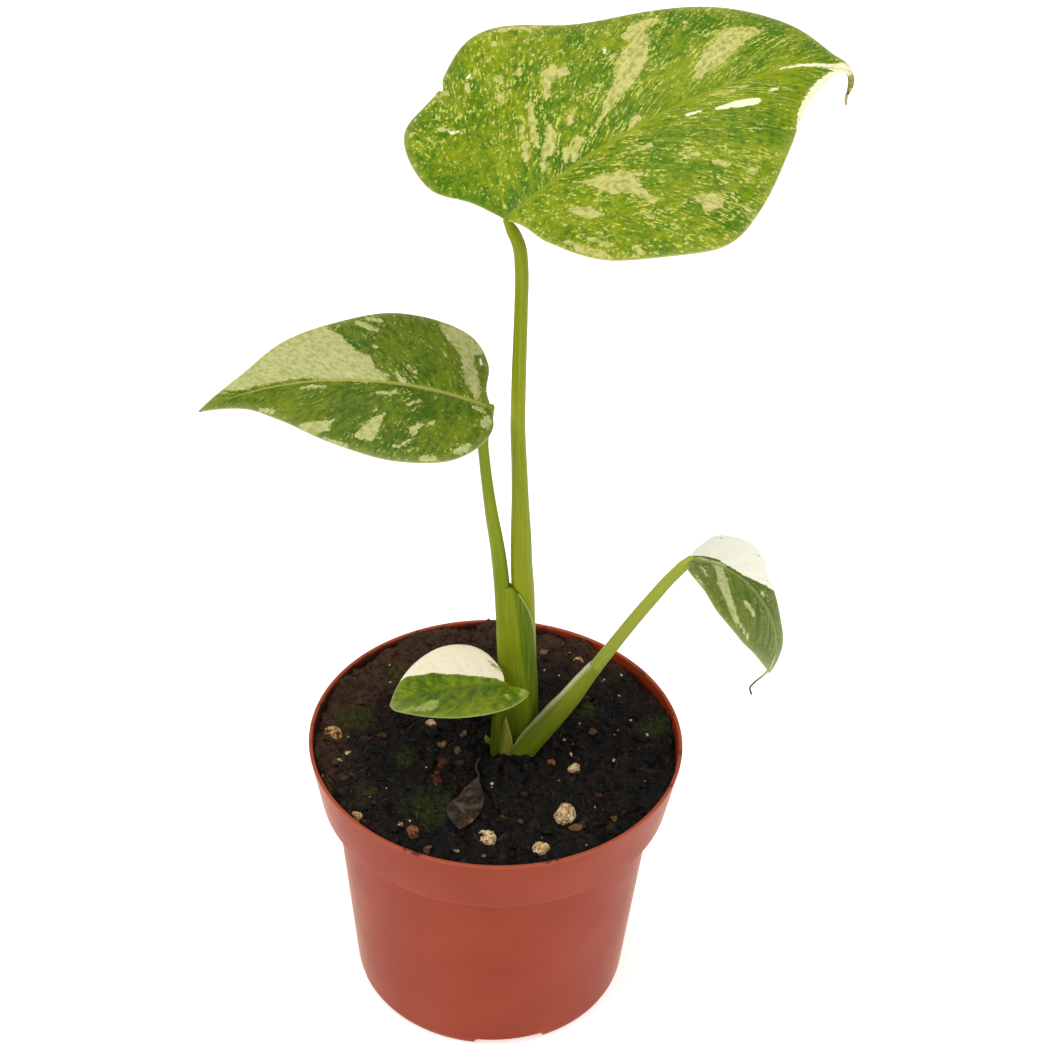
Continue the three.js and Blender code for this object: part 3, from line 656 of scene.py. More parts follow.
    def build(self, slot: str, materials: Sequence[Material], drape: Callable | None = None) -> None:
        """Make the blade as one closed shell, with its dried thread as another where it has one.

        Its finish reads each point's flat place and vein root, its distances to the markings of each tone,
        and its distance to the margin.

        Args:
            slot: a slot's name, which is handed on to settle.
            materials: the upper face's, the underside's and the thread's.
            drape: a function that gives the ground's height at x and y, for a blade that lies on it.
        """
        x, y, margin = self.flat_grid()
        d = np.abs(y)
        middle = np.where((y < 0)[..., None], self.bend(-1, x, d), self.bend(1, x, d))
        if drape is not None:
            middle[..., 2] += drape(middle[..., 0], middle[..., 1])
        upper, lower = self.thicken(middle, x, y, margin)
        marks = {"blade_place": together(x, y, self.vein_root(x, y)),
                 "blade_marks": self.mark_distances(x, y), "blade_edge": margin[..., None]}
        faces = grid_faces(*x.shape)
        surface = Surface()
        surface.add(upper, [faces], **marks)
        below = surface.add(lower, [faces[:, ::-1]], 1, **marks)
        number = np.arange(x.size).reshape(x.shape)
        rim = np.concatenate([number[0, :-1], number[:-1, -1], number[-1, :0:-1], number[:0:-1, 0]])
        beside = np.roll(rim, -1)
        surface.join(together(beside, rim, rim + below, beside + below))
        if self.thread:
            points, shell = self.thread_shell()
            if drape is not None:
                points[:, 2] += drape(points[:, 0], points[:, 1])
            none = np.zeros_like(points)
            surface.add(points, shell, 2, blade_place=points - points[0], blade_marks=none, blade_edge=none)
        surface.settle(self.name, slot, materials, *self.nodes)


@dataclass(frozen=True)
class VariegatedBlade:
    """A living leaf blade's waxy skin, splashed where its cells hold little or no green.

    The eye gets a satin leaf whose greens shift along the veins, thick small flecks, ragged pale patches
    with a grain of their own, and a soft gloss. The underside is paler and duller.
    """

    name: str
    length: float
    vein_spread: float
    colours: BladeFinish
    under: str = "#93a377"
    dead: str = "#4a3519"

    LARGEST = 122.0
    STREAK_SIZES = (1.8, 9.0)
    FLECK_WIDTH = 0.95
    FLECK_LENGTH = 2.4
    SPECKLE_SIZE = 0.95
    MOTTLE_SIZE = 2.2
    RAGGED_SIZE = 2.4
    RAGGED_REACH = 3.4
    COMB_REACH = 4.4
    BLOTCH_SIZE = 1.7
    CLUSTER_SIZE = 7.0
    CLOUD_SIZE = 16.0
    CELL_SIZE = 0.6

    def vein_noise(self, add: Callable, width: float, length: float, shift: float = 0) -> Node:
        """Add noise whose grains lie along the side veins.

        Args:
            add: the function that adds nodes to the material.
            width: a grain's width in millimetres.
            length: its length along the vein.
            shift: a distance that sets this noise apart from another of the same size.

        Returns:
            The noise on vein root over width, mixed outwards with a finer one, because veins spread.
        """
        flat = add("SeparateXYZ", add("Attribute", attribute_name="blade_place").outputs["Vector"])
        across = add("CombineXYZ", flat.outputs["Z"], flat.outputs["Y"], shift)
        grains = []
        for fineness in (1.0, 1 + 0.35 * self.vein_spread):
            cells = add("VectorMath", across, (fineness / width, 1 / length, 1), operation="MULTIPLY")
            grains.append(add("TexNoise", {"Vector": cells, "Scale": 1, "Detail": 2.5, "Roughness": 0.55}))
        outwards = add("Math", flat.outputs["Y"], operation="ABSOLUTE")
        spread = add("MapRange", outwards, 0.06 * self.length, 0.3 * self.length)
        return add("Mix", {0: spread, 2: grains[0], 3: grains[1]})

    def material(self, underside: bool = False) -> Material:
        """Make the finish of the blade's upper face or of its underside."""
        colours = self.colours
        material, tree, add = bare_material(self.name + ("_underside" if underside else "_upper"))
        place = add("Attribute", attribute_name="blade_place").outputs["Vector"]
        flat = add("SeparateXYZ", place)
        marks = add("SeparateXYZ", add("Attribute", attribute_name="blade_marks").outputs["Vector"])
        pale, cream, smudge = (marks.outputs[axis] for axis in "XYZ")
        margin = add("Attribute", attribute_name="blade_edge").outputs["Fac"]

        # Markings fray less on a smaller blade
        fray = math.sqrt(self.length / self.LARGEST)
        cloud, cluster, blotch, ragged = (
            add("TexNoise", {"Vector": place, "Scale": 1 / size, "Detail": detail})
            for size, detail in ((self.CLOUD_SIZE, 2), (self.CLUSTER_SIZE, 1), (self.BLOTCH_SIZE, 3),
                                 (fray * self.RAGGED_SIZE, 3)))
        streaks = self.vein_noise(add, *self.STREAK_SIZES)
        # Flecks are half drawn out along the veins and half round
        mixed = []
        for size, shift in ((1.0, 7), (1.6, 19)):
            drawn = self.vein_noise(add, size * self.FLECK_WIDTH, size * self.FLECK_LENGTH, shift)
            scale = 1 / (size * self.SPECKLE_SIZE)
            round_ones = add("TexNoise", {"Vector": place, "Scale": scale, "Detail": 2})
            mixed.append(add("Mix", {0: 0.4, 2: drawn, 3: round_ones}))
        fine, coarse = mixed

        # Green leaf between the veins
        scale = 1 / self.MOTTLE_SIZE
        mottle = add("TexNoise", {"Vector": place, "Scale": scale, "Detail": 4, "Roughness": 0.6})
        tone = add("Math", cloud, 0.8, mottle, operation="MULTIPLY_ADD")
        tone = add("Math", streaks, 0.5, tone, operation="MULTIPLY_ADD")
        colour = paint_over(tree, colours.deep, (tone, 0.97, 1.33, colours.fresh))

        # Flecks and spots, which lie in clusters, and thicker beside a patch than away from it
        near = add("MapRange", pale, 9, 0, -0.08, -0.05)
        near = add("Math", cluster, 0.16, near, operation="MULTIPLY_ADD")
        for grains, share, softness, paint in ((fine, colours.fleck_share, 0.09, colours.fleck),
                                               (coarse, colours.spot_share, 0.03, colours.pale)):
            fleck = add("Math", grains, near, operation="ADD")
            colour = paint_over(tree, colour, (fleck, 1 - share, 1 - share + softness, paint))

        # A broad band along the margin is painted a little paler as a painted sheen, and a thin pale line runs
        # along the margin itself
        margin_sheen_and_line = ((margin, 3.2, 0.4, 0.22, colours.pale), (margin, 0.45, 0.2, 0.6, colours.pale))
        colour = paint_over(tree, colour, *margin_sheen_and_line)

        # Patches: the distance to a marking's edge, shaken so that the edge frays along the veins
        shakes = [add("Math", noise, reach * fray, -reach / 2 * fray, operation="MULTIPLY_ADD")
                  for noise, reach in ((ragged, self.RAGGED_REACH), (fine, self.COMB_REACH))]
        shake = add("Math", *shakes, operation="ADD")
        small_shake = add("Math", shake, 0.42, operation="MULTIPLY")
        grain = add("Math", streaks, 0.3, blotch, operation="MULTIPLY_ADD")
        for edge, frayed, low, high, shade, paint in (
                (pale, shake, 0.54, 0.7, colours.pale_shade, colours.pale),
                (cream, small_shake, 0.45, 0.62, colours.cream_shade, colours.cream),
                (smudge, shake, 0.5, 0.8, colours.deep, colours.cream_shade)):
            shaded = (coarse, 0.55, 0.66, 0.5, colours.cream_shade)
            paint = paint_over(tree, shade, (grain, low, high, paint), shaded)
            inside = add("Math", edge, frayed, operation="ADD")
            colour = paint_over(tree, colour, (inside, 0, -0.3, paint))

        # The midrib narrows to the tip, which may have dried
        rib_width = add("Math", flat.outputs["X"], -0.75 / self.length, 0.85, operation="MULTIPLY_ADD")
        off_rib = add("Math", flat.outputs["Y"], operation="ABSOLUTE")
        off_rib = add("Math", off_rib, rib_width, operation="SUBTRACT")
        on_rib = add("MapRange", off_rib, 0.25, -0.25, 0, 0.85)
        before_tip = add("MapRange", flat.outputs["X"], self.length, 0.8 * self.length)
        on_rib = add("Math", on_rib, before_tip, operation="MULTIPLY")
        colour = paint_over(tree, colour, (on_rib, 0, 1, colours.rib))
        if colours.dried:
            start = self.length - colours.dried
            dried = (flat.outputs["X"], start, start + 0.6 * colours.dried, 0.9, self.dead)
            colour = paint_over(tree, colour, dried)
        if underside:
            colour = add("Mix", {SHARE: 0.5, FIRST: colour, SECOND: self.under}, data_type="RGBA")

        # Skin cells are drawn coarser than the real 0.05 mm, so that they still break the gloss
        cells = add("TexVoronoi", {"Vector": place, "Scale": 1 / self.CELL_SIZE})
        relief = add("Math", cells, 0.35, fine, operation="MULTIPLY_ADD")
        bump = add("Bump", {"Strength": 0.35, "Distance": 0.12 * MM, "Height": relief})
        dull = 0.24 if underside else 0
        gloss = add("MapRange", cloud, 0.3, 0.7, 0.34 + dull, 0.46 + dull)
        finish_surface(tree, {
            "Base Color": colour, "Roughness": gloss, "IOR": 1.45, "Normal": bump, "Specular IOR Level": 0.16,
            "Subsurface Weight": 0.12, "Subsurface Radius": (0.6, 1.0, 0.2), "Subsurface Scale": MM,
        })
        return material


# Markings of the blades by tone, read off the photograph on each flattened blade in millimetres, with x along
# the midrib and y out from it, positive on the left. A streak's points have a half width each, an area's none

# Two pale streaks, one on the second blade and one on the fourth, are painted highlights
TOP_MARKS = {
    Tone.PALE: (
        ((34.8, 6.8, 0.5), (38, 8.8, 0.8), (42, 11.5, 2), (46, 14, 2.6), (50, 17.5, 3.8), (54.5, 22, 4),
        (58, 26, 3), (60.5, 28, 1)), ((57, 30, 2.2), (60, 31.5, 2.8), (64.5, 31.5, 2.2)), ((64, 5.2, 0.6),
        (68, 7.8, 2.2), (73, 10.5, 3.3), (78, 13.2, 3.6), (82, 15.3, 3.2), (86, 15.5, 2.3), (89.5, 15, 0.9)),
        ((78, 14.5, 2), (81, 18.5, 0.8)), ((20.5, -5.5, 0.4), (24, -9, 1), (27.5, -12, 3),
        (30.5, -15.5, 4.2), (32, -18.5, 2.6), (33.5, -23, 1.3), (35, -27.5, 1.1)), ((33, -14.5, 0.6),
        (36, -16.5, 0.6)), ((16.5, -15.5, 0.6), (19, -18.5, 1.6), (21, -22.5, 1), (22.5, -25, 0.4)),
        ((45, -32, 1.6), (48, -33.5, 2.6), (46, -35.5, 2)), ((55.5, -22, 1.2), (57.5, -24, 0.8)),
        ((62.3, -27.3, 1.2), (62.7, -27.7, 1.2)), ((31, -31, 0.6), (32.2, -33.5, 0.6)), ((34, -37, 0.5),
        (35, -38.5, 0.5)), ((54.8, -38.4, 1.1), (55.2, -38.6, 1.1)), ((16, -29, 0.5), (20.5, -37, 0.5)),
        ((24.8, -41.8, 0.6), (25.2, -42.2, 0.6)), ((12, -27, 0.9), (17.5, -39, 0.9)), ((50, -16, 0.6),
        (53, -18.5, 0.6)), ((38, -7.5, 0.6), (43, -8.5, 0.6)), ((69, -2.3, 0.5), (74, -2.3, 0.5)),
        ((27.8, 24, 0.9), (29.6, 27.2, 1.3), (32, 30.4, 2.1), (33.4, 32, 1.1)), ((34.4, 27.8, 1.2),
        (35.6, 28.6, 1.2)), ((48.8, 25, 0.9), (49.2, 25.4, 0.9)), ((25, 36.6, 0.9), (25.4, 37, 0.9)),
        ((19.6, 37.6, 0.8), (19.6, 39.6, 0.9)), ((17, 31.2, 0.8), (17.2, 34, 0.8)), ((14, 11.2, 1.2),
        (15.6, 14.8, 1.3)), ((18, 12.6, 0.9), (20.2, 18, 1.4), (23, 24.4, 0.9)), ((16, 17.6, 0.9),
        (17.6, 20, 0.9)), ((16, 4.4, 0.9), (19.8, 10.4, 0.9)), ((20, 7.8, 1.1), (22.4, 11.2, 2),
        (23.6, 14.2, 1)), ((22.4, 3.6, 0.8), (24.6, 5.2, 0.8)), ((28.8, 11.8, 0.8), (31.4, 15.2, 0.8)),
        ((83.3, 23.3, 0.7), (83.7, 23.7, 0.7)), ((71.8, 25.8, 0.6), (72.2, 26.2, 0.6)), ((23.8, 50.8, 0.9),
        (24.2, 51.2, 0.9)), ((32, 46.8, 0.9), (32.4, 47.2, 0.9)), ((-3, 42, 0.8), (-0.8, 39.2, 0.8)),
        ((27, 55, 0.9), (37, 52.5, 0.9)), ((1, 54, 0.8), (4.5, 51.5, 0.8)), ((113.5, 0, 1.4), (122, 0, 3)),
        ((24.6, 2, 0.9), (28.4, 6, 1.4)), ((41.2, 0.6, 0.9), (44.4, 2.8, 1.1)), ((10.5, 44.4, 0.9),
        (10.7, 46.2, 1)),
    ),
    Tone.CREAM: (
        ((56, -4.5, 0.5), (60, -5, 0.5)), ((64, -6, 0.6), (70, -7, 1.3), (76, -7.6, 0.9)), ((81, -5.5, 0.4),
        (84, -5.3, 0.5)), ((11, 48.5, 0.3), (12.5, 47.6, 0.7), (13.5, 47.3, 0.4)), ((47.8, 27.6, 0.5),
        (48.6, 30.2, 0.7)), ((-2, 40, 0.2), (-0.5, 37.5, 0.8), (1, 36.3, 0.6), (2.5, 35, 0.3)),
        ((88, 0.6, 0.3), (96, 1, 0.6), (104, 0.5, 0.9), (108, 0, 1.6), (112, 0, 2.6)), ((83, -18.7, 0.6),
        (87, -14.9, 1.6), (92, -11, 2), (98, -7, 2.3), (104, -4, 2.2), (110, -1.5, 2)),
    ),
}

SECOND_MARKS = {
    Tone.PALE: (
        ((19.3, 13.5), (19, 16.5), (21, 19.8), (23.2, 19.3), (22.5, 17), (20.5, 14.5)), ((30.3, 13),
        (32.8, 14.2), (36, 17.5), (37.5, 20), (39.3, 21.5), (37.5, 22.8), (35, 24), (33, 23.5), (32, 21.5),
        (31.3, 17.5)), ((45, 15.8), (46.5, 19.5), (50, 21), (53, 19.5), (56, 16.2), (51, 15.6),
        (47.5, 15.8)), ((3.5, 18), (6, 18.3), (8.5, 21.5), (9.8, 24), (8, 24), (5, 21.5)), ((0, 3.5),
        (1.8, 5.5), (2.8, 8), (2.2, 10), (0, 10), (-1, 7)), ((30.5, -0.8), (31.5, -3), (34, -5.5),
        (35.5, -8), (36.5, -10), (39.8, -11.5), (42, -14.2), (44, -17.3), (48, -20.5), (50, -24), (57, -21),
        (64, -17), (70, -13), (76, -9), (82, -5), (77, -2.8), (72, -1.2), (64, -1.3), (55, -1.2), (50, -0.7),
        (46, 0.5), (40, 0.6), (35, 0.8)), ((4, -0.8), (5.5, -1.8), (8, -5), (9.3, -9), (9.8, -12),
        (11, -16.5), (13, -20.5), (16.5, -24.5), (18.3, -28), (19, -33), (12, -33), (7, -30), (4, -26),
        (4.5, -22.5), (7, -19.5), (7, -16), (5.5, -12.5), (4.2, -8), (3.2, -3)), ((41, 25.5, 0.8),
        (45, 23.8, 0.9), (48, 22, 0.5)), ((14, 27, 0.9), (18, 28.2, 0.9)), ((27.5, 3.8, 0.8), (30, 4.8, 1),
        (33, 4.5, 0.5)), ((48, 2.8, 0.5), (51, 2.2, 0.9), (54.5, 2.5, 0.5)), ((21, 6.2, 0.6),
        (23.8, 8, 0.6)), ((15.7, 12.8, 0.6), (17, 15, 0.6)), ((22, 21.8, 0.5), (25.5, 24.8, 0.5)),
        # The pale streak from (2, 3) to (4.5, 2.5) is a painted highlight, not a marking
        ((32.8, 11.8, 0.5), (33.2, 12.2, 0.5)), ((2, 3, 1), (4.5, 2.5, 1)), ((63.5, 9.5, 0.8),
        (67, 7.8, 0.8)), ((35, -21, 1), (38, -22, 1.4), (40.5, -23.5, 0.8)), ((34, -24.5, 0.8),
        (36, -25.5, 1.1), (38.5, -26, 0.5)), ((23.2, -5.7, 0.6), (25.2, -7.5, 0.6)), ((25, -0.5, 0.5),
        (27, -1.8, 1), (28.2, -3.5, 0.6)), ((16, -16.5, 0.5), (14.5, -14.5, 0.5)), ((21.8, -19.3, 0.5),
        (22.2, -19.7, 0.5)), ((34.8, -13.8, 0.5), (35.2, -14.2, 0.5)),
    ),
    Tone.CREAM: (
        ((4.7, -17, 0.5), (5, -19.5, 0.5)),
    ),
}

THIRD_MARKS = {
    Tone.PALE: (
        ((8, 0, 1.5), (11, -5, 1.8), (13, -10, 2.2), (17, -14, 1.8), (22, -17, 1.4)), ((4.5, -5, 0.6),
        (7, -9, 0.6)), ((0, 1, 0.9), (10, 1, 0.9)), ((22, -8, 1.2), (26, -8, 1.2)), ((4, -11, 0.6),
        (7, -14.5, 0.6)), ((24.8, 2, 0.9), (25.2, 2, 0.9)), ((20, -17.5, 0.7), (30, -15, 0.7)),
        ((46, -1, 0.6), (50, -1.5, 0.6)), ((52, 0, 0.5), (54, 0, 1.5)),
    ),
    Tone.CREAM: (
        ((-3, 1.5), (-1, 2), (3, 2.8), (7, 3.3), (10, 2), (14, 1.6), (17, 2), (20, 3.5), (22.5, 5), (25, 7),
        (29, 10), (24, 26), (2, 26), (-5, 12)),
    ),
    Tone.SMUDGE: (
        ((5.5, 18.5, 0.4), (8, 19.5, 0.3)), ((10, 20, 0.1), (11.5, 20.2, 0.1)), ((17, 17.3, 0.2),
        (18.2, 17.6, 0.2)), ((24, 10, 0.1), (26, 9.6, 0.2)),
    ),
}

FOURTH_MARKS = {
    Tone.PALE: (
        ((19.3, 9.3), (20, 10.5), (23, 10.5), (26, 9.3), (28, 7.8), (26, 6.3), (23, 5.2), (20.3, 5.6),
        # The pale streak from (-0.8, 9) to (0, 6.2) is a painted highlight, not a marking
        (19.2, 7.2)), ((-0.8, 9, 0.6), (0, 6.2, 0.7)), ((-6, 2, 1), (-5, 6, 1.2)), ((28, 6.8, 0.6),
        (33, 7.5, 0.6)),
    ),
    Tone.CREAM: (
        ((-3, 0), (0, -0.8), (3, -2.2), (7, -3), (12, -3.8), (16, -4.8), (20, -5.4), (23, -6.5), (26, -6.6),
        (30, -7), (33, -7.6), (36, -6.8), (40, -8), (30, -18), (12, -20), (-4, -14)),
    ),
    Tone.SMUDGE: (
        ((0.5, -5.2, 0.7), (3, -7.5, 0.9), (5, -9.5, 0.4)), ((2, -10.5, 0.2), (3.2, -11.5, 0.2)),
        ((6, -12.8, 0.1), (7.5, -13.2, 0.2)),
    ),
}


# Pot


@dataclass(frozen=True)
class MouldedPolypropylene:
    """Injection-moulded polypropylene, smooth from the mould.

    The eye gets an even satin terracotta colour, whose bloom of dust turns light at the edges, faint
    clouding where the melt flowed, and an inside that the soil has stained dark brown.
    """

    base: str = "#96320c"
    cloud: str = "#8f2f0c"
    dust: str = "#b5765c"
    stain: str = "#2e1c13"
    damp: str = "#6d2413"
    lip_highlight: str = "#c06444"

    CLOUD_SIZE = 24.0
    SMEAR_SIZE = 5.0
    DUST_SIZE = 1.1
    GRAIN_SIZE = 0.35

    def material(self, lip: float, ledge: float, soiled: bool = False) -> Material:
        """Make the finish, which reads how deep inside the pot each point lies.

        Args:
            lip: height of the pot's lip.
            ledge: height of the step under its band.
            soiled: whether this is the inside, where damp soil leaves no bloom.

        Returns:
            The material.
        """
        material, tree, add = bare_material("soiled_polypropylene" if soiled else "moulded_polypropylene")
        place = own_place(tree)
        cloud, dust, smear, grain = (
            add("TexNoise", {"Vector": place, "Scale": 1 / size, "Detail": detail, "Roughness": rough})
            for size, detail, rough in ((self.CLOUD_SIZE, 3, 0.5), (self.DUST_SIZE, 4, 0.65),
                                        (self.SMEAR_SIZE, 4, 0.65), (self.GRAIN_SIZE, 2, 0.5)))
        # Painted shade: a darker line under the band, where its shadow falls
        across, _, height = add("SeparateXYZ", place).outputs
        below = add("MapRange", height, ledge - 0.05, ledge + 0.05, 1, 0)
        shade_under_band = add("Math", add("MapRange", height, ledge - 3.9, ledge - 0.4), below, operation="MULTIPLY")
        # The lip's top is painted lighter as a painted highlight, and soil has been smeared on it here and
        # there
        at_lip = add("MapRange", height, lip - 1.3, lip - 0.2)
        smeared = add("Math", add("MapRange", smear, 0.57, 0.63), at_lip, operation="MULTIPLY")
        # Under the band the damp stain's colour is laid on as painted shade
        colour = paint_over(
            tree, self.base, (cloud, 0.35, 0.65, self.cloud), (dust, 0.68, 0.74, 0.35, self.dust),
            (shade_under_band, 0, 1, 0.4, self.damp), (height, lip - 0.9, lip - 0.3, 0.45, self.lip_highlight),
            (smeared, 0, 1, 0.8, self.stain))
        # Inside, the stain starts close under the rim at the back and lower down on the right
        inside = add("Attribute", attribute_name="pot_inside").outputs["Fac"]
        right = add("MapRange", across, 5, 40, 0, 2.2)
        depth = add("Math", smear, 3.5, -1.6, operation="MULTIPLY_ADD")
        depth = add("Math", depth, inside, operation="ADD")
        depth = add("Math", depth, right, operation="SUBTRACT")
        colour = paint_over(tree, colour, (depth, 0.1, 1, 0.94, self.damp), (depth, 1, 1.9, 0.94, self.stain))
        gloss = add("MapRange", cloud, 0.3, 0.7, 0.42, 0.52)
        caked = add("Math", smear, 40, operation="MULTIPLY")
        relief = add("Mix", {0: add("MapRange", depth, 0.4, 1), 2: grain, 3: caked})
        bump = add("Bump", {"Strength": 0.25, "Distance": 0.02 * MM, "Height": relief})
        bloom = {"Sheen Weight": 0.8, "Sheen Roughness": 0.21, "Sheen Tint": linear("#ffdcc0")}
        finish_surface(tree, {"Base Color": colour, "Roughness": gloss, "IOR": 1.49, "Normal": bump,
                              "Specular IOR Level": 0.22, **({} if soiled else bloom)})
        return material


@dataclass(frozen=True)
class Pot:
    """The round nursery pot: a tapered wall, a wider band under the rim and four drain notches underneath."""

    height: float = 96.6
    rim_radius: float = 60.0
    band_height: float = 20.2
    band_foot_radius: float = 56.5
    body_top_radius: float = 52.1
    base_radius: float = 45.7
    base_rounding: float = 3.0
    wall: float = 1.2
    floor: float = 1.6
    notch_count: int = 4
    notch_turn: float = 10.0
    notch_width: float = 28.0
    notch_height: float = 3.4
    notch_reach: float = 8.0
    finish: MouldedPolypropylene = MouldedPolypropylene()

    SIDES = 360
    ARC_STEPS = 6

    @property
    def ledge(self) -> float:
        """Height of the step under the band."""
        return self.height - self.band_height

    def band_radius(self, z: float) -> float:
        """Radius of the band's outside at height z, which widens evenly up to the rim."""
        share = (z - self.ledge) / self.band_height
        return self.band_foot_radius + share * (self.rim_radius - self.band_foot_radius)

    def profile(self) -> Array:
        """Work out the pot's half section, from the middle of the underside round to the floor's middle.

        Returns:
            Radius and height of each point. Each corner is a parabola that touches its sides at its own
            distance, with a point beyond each end so that flat sides shade evenly.
        """
        lean = (self.body_top_radius - self.base_radius) / (self.ledge - self.base_rounding)
        foot = self.base_radius - lean * self.base_rounding
        shelf = self.ledge + self.wall
        corners = np.array([
            (0, 0, 0), (foot, 0, self.base_rounding), (foot + 8 * lean, 8, 0.4),
            (self.body_top_radius, self.ledge, 0.5),
            (self.band_foot_radius, self.ledge, 0.6), (self.rim_radius, self.height, 0.55),
            (self.rim_radius - self.wall, self.height, 0.45),
            (self.band_radius(shelf) - self.wall, shelf, 0.6),
            (self.body_top_radius - self.wall, shelf, 0.5), (foot - self.wall, self.floor, 1.0),
            (0, self.floor, 0),
        ])
        middle, cut = corners[1:-1, :2], corners[1:-1, 2:]
        back, ahead = unit(corners[:-2, :2] - middle), unit(corners[2:, :2] - middle)
        share = np.linspace(0, 1, self.ARC_STEPS + 1)[:, None, None]
        arcs = middle + (1 - share) ** 2 * cut * back + share**2 * cut * ahead
        spare = np.linalg.norm(np.diff(corners[:, :2], axis=0), axis=1) - corners[:-1, 2] - corners[1:, 2]
        before, after = (cut + np.minimum(0.55 * np.minimum(cut, 0.6), 0.3 * part[:, None])
                         for part in (spare[:-1], spare[1:]))
        arcs = np.concatenate([[middle + before * back], arcs, [middle + after * ahead]])
        underside = np.array([(r, 0.0) for r in (10, 25, 36, self.base_radius - self.notch_reach - 0.1,
                                                 self.base_radius - self.notch_reach + 0.1, 40)])
        return np.concatenate([underside, arcs.transpose(1, 0, 2).reshape(-1, 2), [(25.0, self.floor)]])

    def build(self) -> None:
        """Turn the profile, press the notches into its foot and dress it."""
        profile = self.profile()
        middles = self.notch_turn - 90 + 360 / self.notch_count * np.arange(self.notch_count)
        angles = np.arange(0, 360, 360 / self.SIDES)
        radius, z = (np.repeat(column[:, None], len(angles), axis=1) for column in profile.T)
        # A notch lifts what lies under its ceiling to just beneath it, and the floor inside to just above
        off = np.min(np.abs((angles[:, None] - middles + 180) % 360 - 180), axis=1)
        place = np.arange(len(profile))[:, None]
        pressed = smooth_step(off, self.notch_width / 2 + 1, self.notch_width / 2 - 1)
        pressed = pressed * (radius > self.base_radius - self.notch_reach)
        ceiling = self.notch_height + 0.6 * self.floor * (place >= len(profile) // 2)
        z += pressed * 0.98 * np.maximum(ceiling - z, 0)
        turn = angles * DEGREE
        points = together(radius * np.cos(turn), radius * np.sin(turn), z)
        points, (wall, foot, floor) = tube(points, [(0, 0, 0), (0, 0, self.floor)])
        # The rim's inner corner is the sixth of nine, and the inside's own finish starts under it
        corner = len(profile) - 1 - 4 * (self.ARC_STEPS + 3)
        under = (corner + self.ARC_STEPS + 2) * self.SIDES
        depth = np.where(place > corner + self.ARC_STEPS // 2, self.height - z, -9.0)
        surface = Surface()
        surface.add(points, [wall[:under], foot], pot_inside=np.append(depth, [-9.0, 9.0])[:, None])
        surface.join(wall[under:], 1)
        surface.join(floor, 1)
        finishes = [self.finish.material(self.height, self.ledge, soiled) for soiled in (False, True)]
        surface.settle("pot_shell", "pot_plastic", finishes, "pot", crease=50)


# Soil and what lies in it


@dataclass(frozen=True)
class DampPottingSoil:
    """Peat and composted bark, tipped in and watered.

    The eye gets a near-black crumbly ground with brown fibres and crumbs, a faint glint of damp, and
    greenish patches where moss has started.
    """

    dark: str = "#0b0908"
    crumb: str = "#25190f"
    brown: str = "#4c3422"
    bark: str = "#5a2c1a"
    ochre: str = "#7d5b36"
    mineral: str = "#d6c49c"
    moss: str = "#414b10"
    moss_places: tuple[tuple[float, float, float], ...] = (
        (-19, -29, 10), (-47, 10, 8), (-33, 34, 6), (-29, -6, 5), (-40, -24, 5), (30, 20, 5), (52, 12, 7))

    LEVEL = 91.0
    CLUMP_SIZE = 7.0
    CRUMB_SIZE = 2.6
    GRAIN_SIZE = 0.7

    def material(self) -> Material:
        """Make the finish, which also reads a crumb's own tone where the piece stores one."""
        material, tree, add = bare_material("damp_potting_soil")
        place = own_place(tree)
        own = add("SeparateXYZ", add("Attribute", attribute_name="crumb_tone").outputs["Vector"])
        clods, grains, clumps = (
            add("TexNoise", {"Vector": place, "Scale": 1 / size, "Detail": detail, "Roughness": rough})
            for size, detail, rough in ((self.CRUMB_SIZE, 4, 0.6), (self.GRAIN_SIZE, 4, 0.65),
                                        (self.CLUMP_SIZE, 2, 0.5)))
        # The soil has dried browner where it lies against the wall at the back and on the left
        middle = add("VectorMath", place, (12, -16, self.LEVEL), operation="DISTANCE").outputs["Value"]
        dried = add("MapRange", middle, 46, 70, -0.07, 0.24)
        dried = add("Math", clumps, 0.5, dried, operation="MULTIPLY_ADD")
        colour = self.dark
        for axis, weight, noise, *cover in (("X", 0.3, clods, 0.66, 0.94, self.crumb),
                                            ("Y", 0.25, grains, 0.84, 1.04, self.brown)):
            tone = add("Math", own.outputs[axis], weight, noise, operation="MULTIPLY_ADD")
            tone = add("Math", tone, dried, operation="ADD")
            colour = paint_over(tree, colour, (tone, *cover))
        patchy = add("MapRange", grains, 0.42, 0.6, 0.15, 0.85)
        for x, y, reach in self.moss_places:
            away = add("VectorMath", place, (x, y, self.LEVEL), operation="DISTANCE").outputs["Value"]
            away = add("Math", clods, -1.6 * reach, away, operation="MULTIPLY_ADD")
            share = add("MapRange", away, 0.3 * reach, -0.5 * reach)
            share = add("Math", share, patchy, operation="MULTIPLY")
            colour = paint_over(tree, colour, (share, 0, 1, self.moss))
        # A bit of bark has a third tone below zero, one of ochre up to a half, and a mineral one beyond
        kind = own.outputs["Z"]
        colour = paint_over(tree, colour, (kind, 0, -0.8, self.bark), (kind, 0, 0.35, self.ochre),
                            (kind, 0.5, 0.9, self.mineral))
        gloss = add("MapRange", grains, 0.35, 0.7, 0.5, 0.95)
        bump = add("Bump", {"Strength": 0.9, "Distance": 0.5 * MM, "Height": grains})
        finish_surface(tree, {"Base Color": colour, "Roughness": gloss, "IOR": 1.4, "Normal": bump,
                              "Specular IOR Level": 0.3})
        return material


